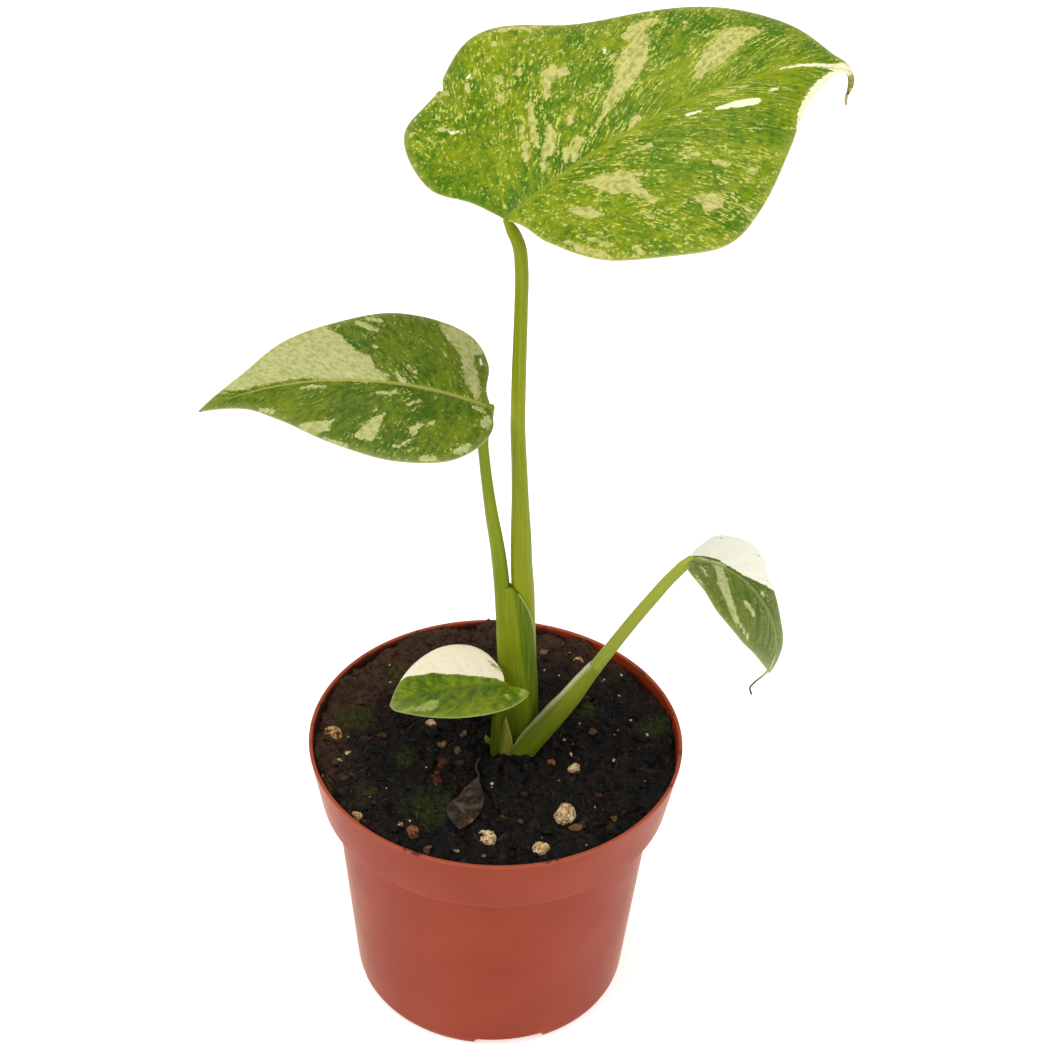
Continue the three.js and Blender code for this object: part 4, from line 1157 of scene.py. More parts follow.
def lump() -> tuple[Array, Array]:
    """Make a round lump of 32 triangles: an eight-sided one with each triangle split in four.

    Returns:
        Its points on a ball of radius 1, and its triangles.
    """
    poles = np.vstack([np.eye(3), -np.eye(3)])
    signs = np.array([(a, b, c) for a in (0, 1) for b in (0, 1) for c in (0, 1)])
    corners = np.arange(3) + 3 * signs
    corners[signs.sum(1) % 2 == 1] = corners[signs.sum(1) % 2 == 1][:, ::-1]
    a, b, c = (poles[corners[:, k]] for k in range(3))
    ab, bc, ca = (a + b) / 2, (b + c) / 2, (c + a) / 2
    quarters = ((a, ab, ca), (ab, b, bc), (ca, bc, c), (ab, bc, ca))
    triangles = np.concatenate([np.stack(three, 1) for three in quarters])
    flat = np.round(triangles.reshape(-1, 3), 6)
    points, numbers = np.unique(flat, axis=0, return_inverse=True)
    return points / np.linalg.norm(points, axis=1, keepdims=True), numbers.reshape(-1, 3)


def scattered_lumps(places: Array, sizes: Array, seed: int,
                    flatness: tuple[float, float] = (0.55, 0.9)) -> tuple[Array, Array]:
    """Set a rough lump at each place.

    Args:
        places: the lumps' middles, one row each.
        sizes: their breadths.
        seed: the seed of their shapes and turns.
        flatness: the least and most height as a share of breadth.

    Returns:
        The points, lump by lump, and the faces. A lump's radii vary by point, and it is stretched along
        one axis, flattened and turned about the upright.
    """
    ball, faces = lump()
    draw = np.random.default_rng(seed)
    count = len(places)
    rough = draw.uniform(0.72, 1.18, (count, len(ball), 1))
    limits = ((0.8, 1.45), (0.6, 1), flatness)
    stretch = np.stack([draw.uniform(*pair, count) for pair in limits], -1)
    shape = ball * rough * (stretch * sizes[:, None] / 2)[:, None, :]
    turn = draw.uniform(0, FULL_TURN, (count, 1))
    tilt = draw.uniform(-0.5, 0.5, (count, 1))
    x, y, z = shape[..., 0], shape[..., 1], shape[..., 2]
    x, z = x * np.cos(tilt) - z * np.sin(tilt), x * np.sin(tilt) + z * np.cos(tilt)
    turned = together(x * np.cos(turn) - y * np.sin(turn), x * np.sin(turn) + y * np.cos(turn), z)
    numbers = faces[None] + len(ball) * np.arange(count)[:, None, None]
    return turned + places[:, None], numbers.reshape(-1, 3)


@dataclass(frozen=True)
class SoilBed:
    """The soil: a heap whose top is lumpy, crumbly ground, mounded a little around the stalks."""

    pot: Pot = Pot()
    level: float = DampPottingSoil.LEVEL
    lump_height: float = 0.45
    mound: float = 1.6
    mound_reach: float = 14.0
    mound_place: tuple[float, float] = (6.0, 3.0)
    edge_drop: float = 2.5
    gap: float = 0.3
    bank: float = 2.8
    bank_turn: float = 118.0
    crumbs: int = 3000
    fine_crumbs: int = 3800
    fibres: int = 620
    finish: DampPottingSoil = DampPottingSoil()

    RINGS = 118
    SIDES = 400
    # Radii between which the bank and the soil against the wall rise, and the bank's cosines of its turn
    BANK_REACH = (44, 56)
    WALL_REACH = (53, 57.5)
    BANK_SPREAD = (0.1, 0.7)
    # Size of the clods and how high they stand, largest first, and the share of that below the ground
    CLODS = ((9.0, 1.7), (4.2, 1.0), (1.9, 0.5), (0.95, 0.32))
    HOLLOW = 0.45
    # Bits that can be told apart: x, y, size, and tone, which is below zero for bark and above for mineral
    BITS = (
        (-21.5, 10.2, 2.6, 0.35), (-11.8, 11.8, 2, -0.7), (-10.4, 3.9, 2.4, 0.4), (-16.7, -0.3, 3.2, 0.4),
        (-12, -4.4, 3, 0.3), (-36.9, 2.4, 3.4, -0.6), (-27.9, -37.9, 1.6, 0.6), (-19, -47, 3.4, 0.3),
        (-10, -50.4, 1.8, 0.6), (-47.8, 0.9, 1, 0.7), (-38.4, -26.4, 0.9, 1), (-48.8, -25.6, 0.8, 0.9),
        (-33.9, -20.2, 0.8, 0.9), (-21.7, -13, 0.9, 0.9), (-35.2, -15.6, 1, 1), (15.3, 47.8, 3, 0.4),
        (21.4, 51.5, 1.2, 0.5), (27.6, 48, 1.2, 0.5), (23.5, 46.9, 1, 0.9), (41.2, 36.6, 1.2, 0.8),
        (40.3, 26.9, 1, 0.9), (44, 14.4, 1.1, 0.8), (31.1, 7.2, 3, 0.25), (22, 4.8, 1.3, 0.9),
        (24.3, -2.4, 1.3, 0.9), (38.1, -4.5, 1.4, 1), (11.4, -4.7, 1, 0.8), (-16.3, -12, 3.6, -0.8),
        (-17.2, -15.8, 3.8, -0.7), (-17.8, -19, 3, -0.8), (26, -37, 4.4, 0.22), (28, -35, 3, -0.4),
        (8.6, -33.5, 2.6, 0.3), (-41.7, -38, 2.6, 0.3), (-0.5, -19.8, 1.7, 0.9), (-50.6, -9.9, 2.6, 0.5),
        (-49.5, -10.8, 1.8, 0.6),
        (-47.2, -5.9, 1.6, 1), (-46.4, -5.2, 1, 1), (49, 6.7, 1.3, 0.9), (47.5, -14.4, 1.3, 0.9),
        (-2, -51, 1.4, 0.5), (33, -22, 2.6, -0.6), (10, -21, 2.2, -0.5), (3, -30, 1.8, 0.3),
        (38, -30, 2, 0.3),
    )

    @property
    def edge(self) -> float:
        """Radius of the soil's top edge, a gap inside the pot's band."""
        return self.pot.band_radius(self.level - self.edge_drop) - self.pot.wall - self.gap

    def waves(self) -> Array:
        """Draw six long waves: turn, length and phase of each, from a linear congruential source, seed 7."""
        state, drawn = 7, []
        for _ in range(18):
            state = (state * 1664525 + 1013904223) % 2**32
            drawn.append(state / 2**32)
        return np.array(drawn).reshape(6, 3) * (FULL_TURN, 14, FULL_TURN) + (0, 17, 0)

    def height(self, x: Array, y: Array) -> Array:
        """Work out the ground's height: level + lump height times the waves' sines + a bell curve."""
        turn, length, phase = self.waves().T
        along = np.asarray(x)[..., None] * np.cos(turn) + np.asarray(y)[..., None] * np.sin(turn)
        lumps = np.sin(FULL_TURN * along / length + phase).sum(-1)
        away = np.hypot(x - self.mound_place[0], y - self.mound_place[1]) / self.mound_reach
        return self.level + self.lump_height * lumps + self.mound * np.exp(-away * away)

    def ground(self, x: Array, y: Array) -> Array:
        """Work out the height with its clods, hills with sharp hollows, and its bank at the back."""
        flat = together(np.ravel(x), np.ravel(y))
        clods = sum(high * (np.abs(random_relief(flat, size, 40 + k)) - self.HOLLOW)
                    for k, (size, high) in enumerate(self.CLODS))
        turn, away = self.bank_turn * DEGREE, np.hypot(x, y)
        towards = (x * math.cos(turn) + y * math.sin(turn)) / np.maximum(away, 0.1)
        bank = self.bank * smooth_step(away, *self.BANK_REACH) * smooth_step(towards, *self.BANK_SPREAD)
        bank += smooth_step(away, *self.WALL_REACH)
        return self.height(x, y) + clods.reshape(np.shape(x)) + bank

    def crumpled(self, x: Array, y: Array) -> Array:
        """Work out the height of a crumpled leaf on the ground: its height, and folds 6 and 2 mm apart."""
        flat = together(np.ravel(x), np.ravel(y))
        folds = 0.5 * random_relief(flat, 6, 90) + 0.1 * random_relief(flat, 2, 91)
        return self.height(x, y) + 0.5 + folds.reshape(np.shape(x))

    def build(self) -> None:
        """Make the bed, its crumbs and its fibres."""
        finish = self.finish.material()
        self.build_bed(finish)
        self.build_crumbs(finish)
        self.build_bits(finish)
        self.build_fibres()

    def build_bed(self, finish: Material) -> None:
        """Make the closed heap: a fine top, and plain sides and bottom against the pot."""
        ledge = self.pot.ledge + self.pot.wall + self.gap
        inside = self.pot.body_top_radius - self.pot.wall - self.gap
        foot = self.pot.base_radius - self.pot.wall
        shelf = self.pot.band_radius(ledge) - self.pot.wall - 2 * self.gap
        sides = np.array([
            (foot - 20, self.pot.floor + self.gap), (foot - self.gap, self.pot.notch_height + 2),
            (inside, ledge), (shelf, ledge), (self.edge, self.level - self.edge_drop)])
        turn = np.linspace(0, FULL_TURN, self.SIDES, endpoint=False)
        # The top's rim lies against the wall, which is wider where the ground is higher
        rim = self.edge + 0.8
        rim = self.pot.band_radius(self.ground(rim * np.cos(turn), rim * np.sin(turn))) - self.pot.wall - 0.08
        radii = np.concatenate([np.repeat(sides[:, :1], self.SIDES, axis=1),
                                np.linspace(1, 0.01, self.RINGS)[:, None] * rim])
        x, y = radii * np.cos(turn), radii * np.sin(turn)
        top = self.ground(x[len(sides):], y[len(sides):])
        z = np.concatenate([np.repeat(sides[:, 1:], self.SIDES, axis=1), top])
        surface = Surface()
        middle = self.ground(np.zeros(1), np.zeros(1))[0]
        surface.add(*tube(together(x, y, z), [(0, 0, self.pot.floor + self.gap), (0, 0, middle)]))
        surface.settle("soil_bed", "potting_soil", [finish], "soil")

    def scatter(self, count: int, seed: int, reach: float) -> tuple[Array, Array]:
        """Draw evenly spread places on the ground, as x and y, out to a share of the soil's edge."""
        draw = np.random.default_rng(seed)
        radius = self.edge * reach * np.sqrt(draw.uniform(0, 1, count))
        turn = draw.uniform(0, FULL_TURN, count)
        return radius * np.cos(turn), radius * np.sin(turn)

    def build_crumbs(self, finish: Material) -> None:
        """Strew the ground with crumbs, of few large and many small, each with a tone of its own."""
        for name, count, low, high, seed in (("soil_crumbs", self.crumbs, 0.8, 3.4, 5),
                                             ("soil_fines", self.fine_crumbs, 0.35, 0.9, 6)):
            draw = np.random.default_rng(seed)
            x, y = self.scatter(count, seed + 20, 1.008)
            sizes = low + (high - low) * draw.uniform(0, 1, count) ** 4
            places = together(x, y, self.ground(x, y) + draw.uniform(-0.25, 0.25, count) * sizes)
            points, faces = scattered_lumps(places, sizes, seed + 40)
            specks = 0.8 * (draw.uniform(0, 1, count) > 0.988) * (sizes < 1)
            tones = together(draw.normal(0, 0.5, count), draw.uniform(-1, 1, count) ** 3, specks)
            surface = Surface()
            surface.add(points, [faces], crumb_tone=np.repeat(tones, points.shape[1], axis=0))
            surface.settle(name, "potting_soil", [finish], crease=35)

    def build_bits(self, finish: Material) -> None:
        """Lay the bits of bark and mineral that can be told apart, each of several lumps."""
        bits = np.repeat(np.array(self.BITS), 3, axis=0)
        draw = np.random.default_rng(77)
        places = bits[:, :2] + draw.normal(0, 0.13, (len(bits), 2)) * bits[:, 2:3]
        z = self.ground(places[:, 0], places[:, 1]) + 0.22 * bits[:, 2]
        points, faces = scattered_lumps(np.column_stack([places, z]), 0.8 * bits[:, 2], 78, (0.4, 0.7))
        tones = np.column_stack([np.zeros((len(bits), 2)), bits[:, 3] * draw.uniform(0.6, 1.2, len(bits))])
        surface = Surface()
        surface.add(points, [faces], crumb_tone=np.repeat(tones, points.shape[1], axis=0))
        surface.settle("soil_bits", "potting_soil", [finish], crease=35)

    def build_fibres(self) -> None:
        """Strew short bent root and coir fibres, each a four-sided thread of eight stretches."""
        draw = np.random.default_rng(9)
        count, steps, sides = self.fibres, 9, 4
        x, y = self.scatter(count, 29, 0.95)
        length = draw.uniform(2.5, 8, (count, 1))
        heading = draw.uniform(0, FULL_TURN, (count, 1))
        heading = heading + np.linspace(-1, 1, steps) * draw.normal(0, 0.7, (count, 1))
        step = length / (steps - 1)
        x = x[:, None] + np.cumsum(np.cos(heading) * step, 1)
        y = y[:, None] + np.cumsum(np.sin(heading) * step, 1)
        keep = np.hypot(x, y).max(1) < self.edge - 0.6
        x, y, heading = x[keep], y[keep], heading[keep]
        bow = np.sin(np.linspace(0, math.pi, steps)) * draw.uniform(0, 1, (len(x), 1))
        z = self.ground(x, y) + 0.25 + 0.5 * bow
        radius = draw.uniform(0.05, 0.14, (len(x), 1)) * np.sin(np.linspace(0.25, math.pi - 0.25, steps))
        angle = np.arange(sides) * FULL_TURN / sides
        across, rise = radius[..., None] * np.cos(angle), radius[..., None] * np.sin(angle)
        points = np.stack([x[..., None] - across * np.sin(heading)[..., None],
                           y[..., None] + across * np.cos(heading)[..., None], z[..., None] + rise], -1)
        one = grid_faces(steps, sides, around=True)
        faces = (one[None] + steps * sides * np.arange(len(x))[:, None, None]).reshape(-1, 4)
        first = steps * sides * np.arange(len(x))[:, None]
        caps = [first + np.arange(sides)[::-1], first + (steps - 1) * sides + np.arange(sides)]
        surface = Surface()
        surface.add(points, [faces, *caps])
        surface.settle("soil_fibres", "potting_soil", [COIR_FIBRE.material()])


@dataclass(frozen=True)
class MottledFinish:
    """A dull natural surface whose paints each follow a noise, the last of which is also its relief.

    A layer is the noise's size in mm, or one size along each axis, its detail and roughness, where the cover
    starts and is full, its most and its paint. relief is the bump's strength and its height in mm.
    """

    name: str
    base: str
    layers: tuple[tuple, ...]
    roughness: float
    ior: float = 1.5
    relief: tuple[float, float] = (0.0, 0.0)

    def material(self) -> Material:
        """Make the finish."""
        material, tree, add = bare_material(self.name)
        colour = self.base
        for size, detail, rough, *cover in self.layers:
            place = own_place(tree, size if isinstance(size, tuple) else (size,) * 3)
            noise = add("TexNoise", {"Vector": place, "Scale": 1, "Detail": detail, "Roughness": rough})
            colour = paint_over(tree, colour, (noise, *cover))
        inputs = {"Base Color": colour, "Roughness": self.roughness, "IOR": self.ior}
        strength, height = self.relief
        if strength:
            inputs["Normal"] = add("Bump", {"Strength": strength, "Distance": height * MM, "Height": noise})
        finish_surface(tree, inputs)
        return material


def grain_finish(name: str, clean: str, stained: str, pit: str) -> MottledFinish:
    """Describe a dull, pitted grain: its stains are 1.5 mm across and its pits 0.8."""
    layers = ((1.5, 3, 0.5, 0.44, 0.58, 1, stained), (0.8, 4, 0.7, 0.46, 0.4, 1, pit))
    return MottledFinish(name, clean, layers, 0.9, relief=(0.8, 0.3))


# Dead root and coconut fibre: to the eye, dull straw-brown threads, each with a tone of its own
COIR_FIBRE = MottledFinish("coir_fibre", "#1d130c", ((3, 2, 0.5, 0.5, 0.75, 1, "#6f5535"),), 0.8)
# The crown's corky skin, which the soil hides: to the eye, dull olive-brown with darker rings 1 mm apart
CORKY_CROWN = MottledFinish("corky_crown", "#6d6240", (((8.3, 8.3, 1), 4, 0.5, 0.4, 0.6, 1, "#3d3422"),),
                            0.8, 1.45, (0.5, 0.3))
# A leaf dead for weeks: to the eye, dark grey-brown leathery tissue, glossy on its damp folds
WITHERED_TISSUE = MottledFinish(
    "withered_tissue", "#1b110a",
    ((2.4, 4, 0.5, 0.38, 0.6, 1, "#3d2819"), (2.4, 4, 0.5, 0.56, 0.7, 0.7, "#5c4631")),
    0.33, 1.45, (0.7, 0.4))


class Stone(Enum):
    """What a loose grain is made of.

    The eye gets a dull, pitted crumb of crushed pumice, cream and ochre where it has taken up the soil's
    brown, or a rough red-brown chip of composted pine bark.
    """

    PUMICE = grain_finish("pumice", "#e0c698", "#b8894f", "#4a3220")
    STAINED_PUMICE = grain_finish("stained_pumice", "#cfa568", "#9c6c34", "#3c2817")
    BARK = grain_finish("pine_bark", "#935632", "#6b3a20", "#2e1a10")


@dataclass(frozen=True)
class Grain:
    """A loose grain that lies a little sunk in the soil."""

    number: int
    x: float
    y: float
    size: float
    turn: float
    stone: Stone = Stone.PUMICE

    SUNK = 0.28
    PROPORTIONS = (1.0, 0.85, 0.75)
    ROWS = 36
    SIDES = 60
    FACETS = 9
    SHARPNESS = 14
    # Size of its crags as a share of its own, their depth and the seed that its number adds to
    CRAGS = ((0.7, 0.16, 0), (0.25, 0.07, 50))

    def build(self, soil: SoilBed, finish: Material) -> None:
        """Make the grain: a ball whose radius is a soft least of some facets' distances, with pits."""
        draw = np.random.default_rng(100 + self.number)
        facets = unit(draw.normal(size=(self.FACETS, 3)))
        offsets = draw.uniform(0.86, 1.04, self.FACETS)
        polar = np.linspace(0, math.pi, self.ROWS + 2)[::-1, None]
        angle = np.linspace(0, FULL_TURN, self.SIDES, endpoint=False)
        ball = together(np.sin(polar) * np.cos(angle), np.sin(polar) * np.sin(angle), np.cos(polar))
        ball, faces = tube(ball[1:-1], [ball[0, 0], ball[-1, 0]])
        reach = np.maximum(ball @ facets.T, 0.01) / offsets
        radius = (reach**self.SHARPNESS).sum(1) ** (-1 / self.SHARPNESS)
        crags = sum(depth * np.abs(random_relief(ball, size, seed + self.number))
                    for size, depth, seed in self.CRAGS)
        radius = np.clip(radius * 1.07, 0.75, 1.2) - crags
        points = ball * radius[:, None] * np.array(self.PROPORTIONS) * self.size / 2
        turn = self.turn * DEGREE
        x = points[:, 0] * math.cos(turn) - points[:, 1] * math.sin(turn)
        y = points[:, 0] * math.sin(turn) + points[:, 1] * math.cos(turn)
        ground = float(soil.height(np.array(self.x), np.array(self.y)))
        points = together(x + self.x, y + self.y, points[:, 2] + ground + self.SUNK * self.size / 2)
        surface = Surface()
        surface.add(points, faces)
        name = f"grain_{self.number:02d}"
        slot = "brown_grain" if self.stone is Stone.BARK else "pale_grain"
        surface.settle(name + "_stone", slot, [finish], name)


# Stalks


@dataclass(frozen=True)
class StalkSkin:
    """The skin of a living leaf stalk.

    The eye gets a satin yellow-green stem with fine ridges and streaks along it, darker low down and on
    the sheath, whose free edge is pale and thin, and a few tiny dark specks.
    """

    name: str
    low: str
    high: str
    streak: str
    sheath: str
    edge: str = "#c3c68a"
    speck: str = "#4b4a1c"

    RIDGE_WIDTH = 0.55
    RIDGE_LENGTH = 26.0
    BROAD_SCALE = 0.3

    def material(self) -> Material:
        """Make the finish, from each point's place on the stalk and its height share, sheath and edge."""
        material, tree, add = bare_material(self.name)
        place = add("Attribute", attribute_name="stalk_place").outputs["Vector"]
        own = add("SeparateXYZ", add("Attribute", attribute_name="stalk_marks").outputs["Vector"])
        grow, sheath, edge = (own.outputs[axis] for axis in "XYZ")
        sizes = (self.RIDGE_LENGTH, self.RIDGE_WIDTH, self.RIDGE_WIDTH)
        along = add("VectorMath", place, [1 / size for size in sizes], operation="MULTIPLY")
        ridges, broad = (add("TexNoise", {"Vector": along, "Scale": scale, "Detail": 2})
                         for scale in (1, self.BROAD_SCALE))
        dark = add("MapRange", broad, 0.3, 0.65, 0.75, 0.97)
        dark = add("Math", sheath, dark, operation="MULTIPLY")
        dots = add("TexNoise", {"Vector": place, "Scale": 0.9, "Detail": 1})
        colour = paint_over(
            tree, self.low, (grow, 0, 1, self.high), (dark, 0, 1, self.sheath),
            (ridges, 0.45, 0.7, 0.36, self.streak), (edge, 0.75, 0.25, 0.9, self.edge),
            (dots, 0.76, 0.78, 0.7, self.speck))
        gloss = add("MapRange", broad, 0.3, 0.7, 0.34, 0.48)
        bump = add("Bump", {"Strength": 0.35, "Distance": 0.12 * MM, "Height": ridges})
        finish_surface(tree, {"Base Color": colour, "Roughness": gloss, "IOR": 1.45, "Normal": bump,
                              "Specular IOR Level": 0.17, "Subsurface Weight": 0.15,
                              "Subsurface Radius": (0.8, 1.0, 0.2), "Subsurface Scale": MM})
        return material


@dataclass(frozen=True)
class Wrap:
    """The sheath of stalk 2, a thin wall round stalk 1 whose top edge falls to an open side.

    Its outside is drawn tight round both stalks, so that stalk 2 grows out of it. edge holds degrees from
    +X and the height of the edge there, once round.
    """

    around: tuple[tuple[float, float, float, float], ...]
    beside: tuple[tuple[float, float, float, float], ...]
    edge: tuple[tuple[float, float], ...]
    foot: float = 89.3
    clear: float = 0.6
    edge_clear: float = 0.15
    wall: float = 1.1
    edge_wall: float = 0.4

    ROWS = 70
    SIDES = 120

    def drawn_round(self, outer: Array, z: Array, turn: Array) -> Array:
        """Work out how far a band drawn tight round both stalks lies from stalk 1's middle.

        Args:
            outer: radius of the wall round stalk 1 alone.
            z: heights.
            turn: directions from stalk 1's middle, in radians.

        Returns:
            Towards stalk 2, D away at an angle a to the turn, D cos a + sqrt(r^2 - D^2 sin^2 a). Where the
            band is straight, R / cos(a - b), b being where it leaves stalk 1. Elsewhere the radius R.
        """
        one, two = np.array(self.around), np.array(self.beside)
        x, y = (np.interp(z, two[:, 2], two[:, k]) - np.interp(z, one[:, 2], one[:, k]) for k in (0, 1))
        near = np.interp(z, two[:, 2], two[:, 3]) + 0.2 - 0.7 * smooth_step(z, 132, 152)
        gap = np.hypot(x, y)
        off = np.abs((turn - np.arctan2(y, x) + math.pi) % FULL_TURN - math.pi)
        leave = np.arccos(np.clip((outer - near) / gap, -1, 1))
        meet = np.arctan2(near * np.sin(leave), gap + near * np.cos(leave))
        own = gap * np.cos(off) + np.sqrt(np.maximum(near**2 - (gap * np.sin(off)) ** 2, 0))
        straight = outer / np.cos(np.minimum(np.abs(off - leave), 1.4))
        spread = np.where(off < meet, own, np.where(off < leave, straight, outer))
        return np.where(gap + near > outer, np.maximum(spread, outer), outer)

    def add_to(self, surface: Surface) -> None:
        """Add the wall: rings about stalk 1's middle, with the clearance inside and the band outside."""
        line = np.array(self.around)
        angle = np.linspace(-180, 180, self.SIDES, endpoint=False)
        turn = angle * DEGREE
        flat = together(np.cos(turn), np.sin(turn))
        rim = curve_through(self.edge, np.linspace(0, 1, 400))
        top = np.interp(angle, rim[:, 0], rim[:, 1]) + 0.25 * random_relief(4 * flat, 2.5, 61)
        share = np.linspace(0, 1, self.ROWS)[:, None]
        z = self.foot + (top - self.foot) * share
        wall = self.wall + (self.edge_wall - self.wall) * share**2
        x, y, radius = (np.interp(z, line[:, 2], line[:, k]) for k in (0, 1, 3))
        inner = radius + self.clear + (self.edge_clear - self.clear) * share**2
        outer = self.drawn_round(inner + wall, z, np.broadcast_to(turn, z.shape))
        slope = np.gradient(top) / (np.gradient(angle) * DEGREE * 5)
        below = (top - self.foot) * (1 - share) / np.hypot(1, slope)
        below += 5 * smooth_step(-flat[:, 0], 0.25, 0.5)
        x, y, z, below = (np.concatenate([part, part[::-1]]) for part in (x, y, z, below))
        out, side = np.concatenate([outer, inner[::-1]]) * flat.T[:, None]
        points = together(x + out, y + side, z)
        grow = (z - self.foot) / (top.max() - self.foot)
        # The darker zone starts at the fork and widens downwards, on the side where the sheath is open
        shade = smooth_step(flat[:, 0] - 0.3 + 0.02 * (z - 111), -0.16, 0.08)
        shade = shade * smooth_step(z, 92, 110)
        surface.add(points, [grid_faces(2 * self.ROWS, self.SIDES, around=True, closed=True)],
                    stalk_place=together(z, out, side), stalk_marks=together(0.8 * grow, shade, below))


@dataclass(frozen=True)
class Trough:
    """The sheath of stalk 3, a bowed wall that opens upwards and runs out along the stalk.

    sides holds the share of its length, the height of its side and half its breadth there.
    """

    sides: tuple[tuple[float, float, float], ...]
    top: float = 0.465
    turn: float = 177.0
    wall: float = 1.1
    edge_wall: float = 0.35

    ROWS = 90
    COLUMNS = 48
    LENGTH = 70

    def add_to(self, surface: Surface, knots: Array) -> None:
        """Add the trough along the stalk's knots.

        At k of -1 to 1 the wall stands breadth sin(k turn) across and hub - hub cos(k turn) above the
        stalk's lowest line, where hub is the side's height over 1 - cos(turn).
        """
        share = np.linspace(0, 1, self.ROWS)
        reach = np.linspace(0, 1, 400)
        line = curve_through(knots[:, :3], self.top * share)
        ahead = unit(np.gradient(line, axis=0))
        upwards = unit(together(-ahead[:, 2], 0.0, ahead[:, 0]))
        sides = curve_through(self.sides, reach)
        height, breadth = (np.interp(share, sides[:, 0], sides[:, k])[:, None] for k in (1, 2))
        bottom = line - knots[0, 3] * upwards
        turn = np.linspace(-1, 1, self.COLUMNS)
        angle = turn * self.turn * DEGREE
        ruffle = 0.05 * random_relief(share[:, None] * (60, 0), 6, 62)[:, None]
        hub = (height + ruffle * np.abs(turn) ** 3) / (1 - math.cos(self.turn * DEGREE))
        loops = []
        for inner in (False, True):
            depth = (self.wall + (self.edge_wall - self.wall) * np.abs(turn) ** 1.5) * inner
            across = (breadth - depth) * np.sin(angle)
            rise = hub - (hub - depth) * np.cos(angle)
            wall = bottom[:, None] + rise[..., None] * upwards[:, None] + across[..., None] * (0, 1, 0)
            away = (1 - np.abs(turn)) * self.turn * DEGREE * breadth
            # The far edge dries to a pale skin near its upper end, and the foot is pale
            away = away - 1.6 * smooth_step(turn, 0, 1) * smooth_step(share, 0.7, 0.95)[:, None]
            # The pale band along the near edge is widened from partway up: partly the sheath's pale margin,
            # partly a painted highlight
            away = away * (1 - 0.6 * smooth_step(-turn, 0, 0.1) * smooth_step(share, 0.1, 0.5)[:, None])
            away = np.minimum(away, 0.1 + 0.2 * self.LENGTH * share[:, None])
            local = together((self.LENGTH * share)[:, None], 0.7 * angle * breadth, depth)
            loops.append([part[:, ::-1] if inner else part for part in (wall, local, away)])
        points, local, edge = (np.concatenate(part, axis=1) for part in zip(*loops))
        faces = grid_faces(self.ROWS, 2 * self.COLUMNS, around=True)
        count = self.COLUMNS
        near = np.arange(count - 1)
        cap = together(near + 1, near, 2 * count - 1 - near, 2 * count - 2 - near)
        last = (self.ROWS - 1) * 2 * count
        surface.add(points, [faces, cap, cap[:, ::-1] + last], stalk_place=local,
                    stalk_marks=together(0.2 * share[:, None], 0.0, edge))


@dataclass(frozen=True)
class Stalk:
    """A leaf stalk: a round stem on a smooth curve through its knots, each x, y, z and radius."""

    name: str
    knots: tuple[tuple[float, float, float, float], ...]
    finish: StalkSkin
    sheath: Wrap | Trough | None = None

    SIDES = 44
    STEP = 0.9
    DOME_STEPS = 6

    def build(self) -> None:
        """Make the stem, round off its upper end and add its sheath."""
        knots = np.array(self.knots)
        length = np.linalg.norm(np.diff(knots[:, :3], axis=0), axis=1).sum()
        places = np.linspace(0, 1, int(length / self.STEP))
        path = curve_through(knots[:, :3], places)
        radius = np.interp(places * (len(knots) - 1), np.arange(len(knots)), knots[:, 3])
        radius *= 1 - 0.3 * smooth_step(places, 0.965, 1)
        ahead = unit(path[-1] - path[-2])
        bow = np.linspace(0, math.pi / 2, self.DOME_STEPS + 1)[1:]
        path = np.concatenate([path, path[-1] + np.sin(bow)[:, None] * radius[-1] * ahead])
        radius = np.concatenate([radius, np.maximum(np.cos(bow), 0.03) * radius[-1]])
        angle = np.linspace(0, FULL_TURN, self.SIDES, endpoint=False)
        # A stalk is a little flattened above, and its ridges stand out by a few hundredths
        ridges = 1 + 0.012 * np.sin(9 * angle) + 0.01 * np.sin(14 * angle + 1)
        points = rings_along(path, radius[:, None] * ridges, angle)
        steps = np.linalg.norm(np.diff(path, axis=0, prepend=path[:1]), axis=1).cumsum()
        along = np.broadcast_to(steps[:, None], points.shape[:2])
        local = together(along, radius[:, None] * np.cos(angle), radius[:, None] * np.sin(angle))
        local = np.concatenate([local.reshape(-1, 3), np.zeros((2, 3))])
        grow = np.append((along / steps[-1]).ravel(), [0, 1])
        surface = Surface()
        surface.add(*tube(points, path[[0, -1]]), stalk_place=local, stalk_marks=together(grow, 0.0, 9.0))
        if isinstance(self.sheath, Wrap):
            self.sheath.add_to(surface)
        elif isinstance(self.sheath, Trough):
            self.sheath.add_to(surface, knots)
        surface.settle(self.name + "_stem", "leaf_stalk", [self.finish.material()], self.name)


STALK_1 = (
    (8.5, 5.6, 87.8, 3.4), (8.8, 5.4, 104, 3.6), (8.6, 5.2, 116, 3.7), (8, 4.9, 128, 3.7),
    (7.4, 4.6, 140, 3.65), (6.9, 4.2, 152, 3.5), (6.2, 3.8, 162, 3.3), (5.7, 3.4, 173, 3.1),
    (5.1, 3, 186, 2.55), (4.5, 2.7, 198, 2.3), (3.7, 2.4, 212, 2.15), (3.5, 2.2, 230, 2.05),
    (3.5, 2, 250, 1.9), (3.3, 1.9, 263, 1.9), (2.3, 2, 270.8, 1.85), (-1, 2.1, 277.7, 1.7),
)
STALK_2 = (
    (3, 5, 87.8, 2.3), (3, 4.8, 104, 2.4), (2.7, 4.5, 116, 2.4), (2, 4.2, 130, 2.45), (1.1, 3.8, 144, 2.45),
    (0.2, 3.3, 156, 2.4), (-0.9, 2.7, 166, 2.25), (-1.9, 2.3, 173, 2.1), (-3.1, 1.9, 180.3, 1.95),
    (-4.3, 1.5, 189, 1.75), (-5.6, 1.1, 200, 1.6), (-6.2, 0.8, 209, 1.6), (-4.2, 0.6, 219.3, 1.6),
)
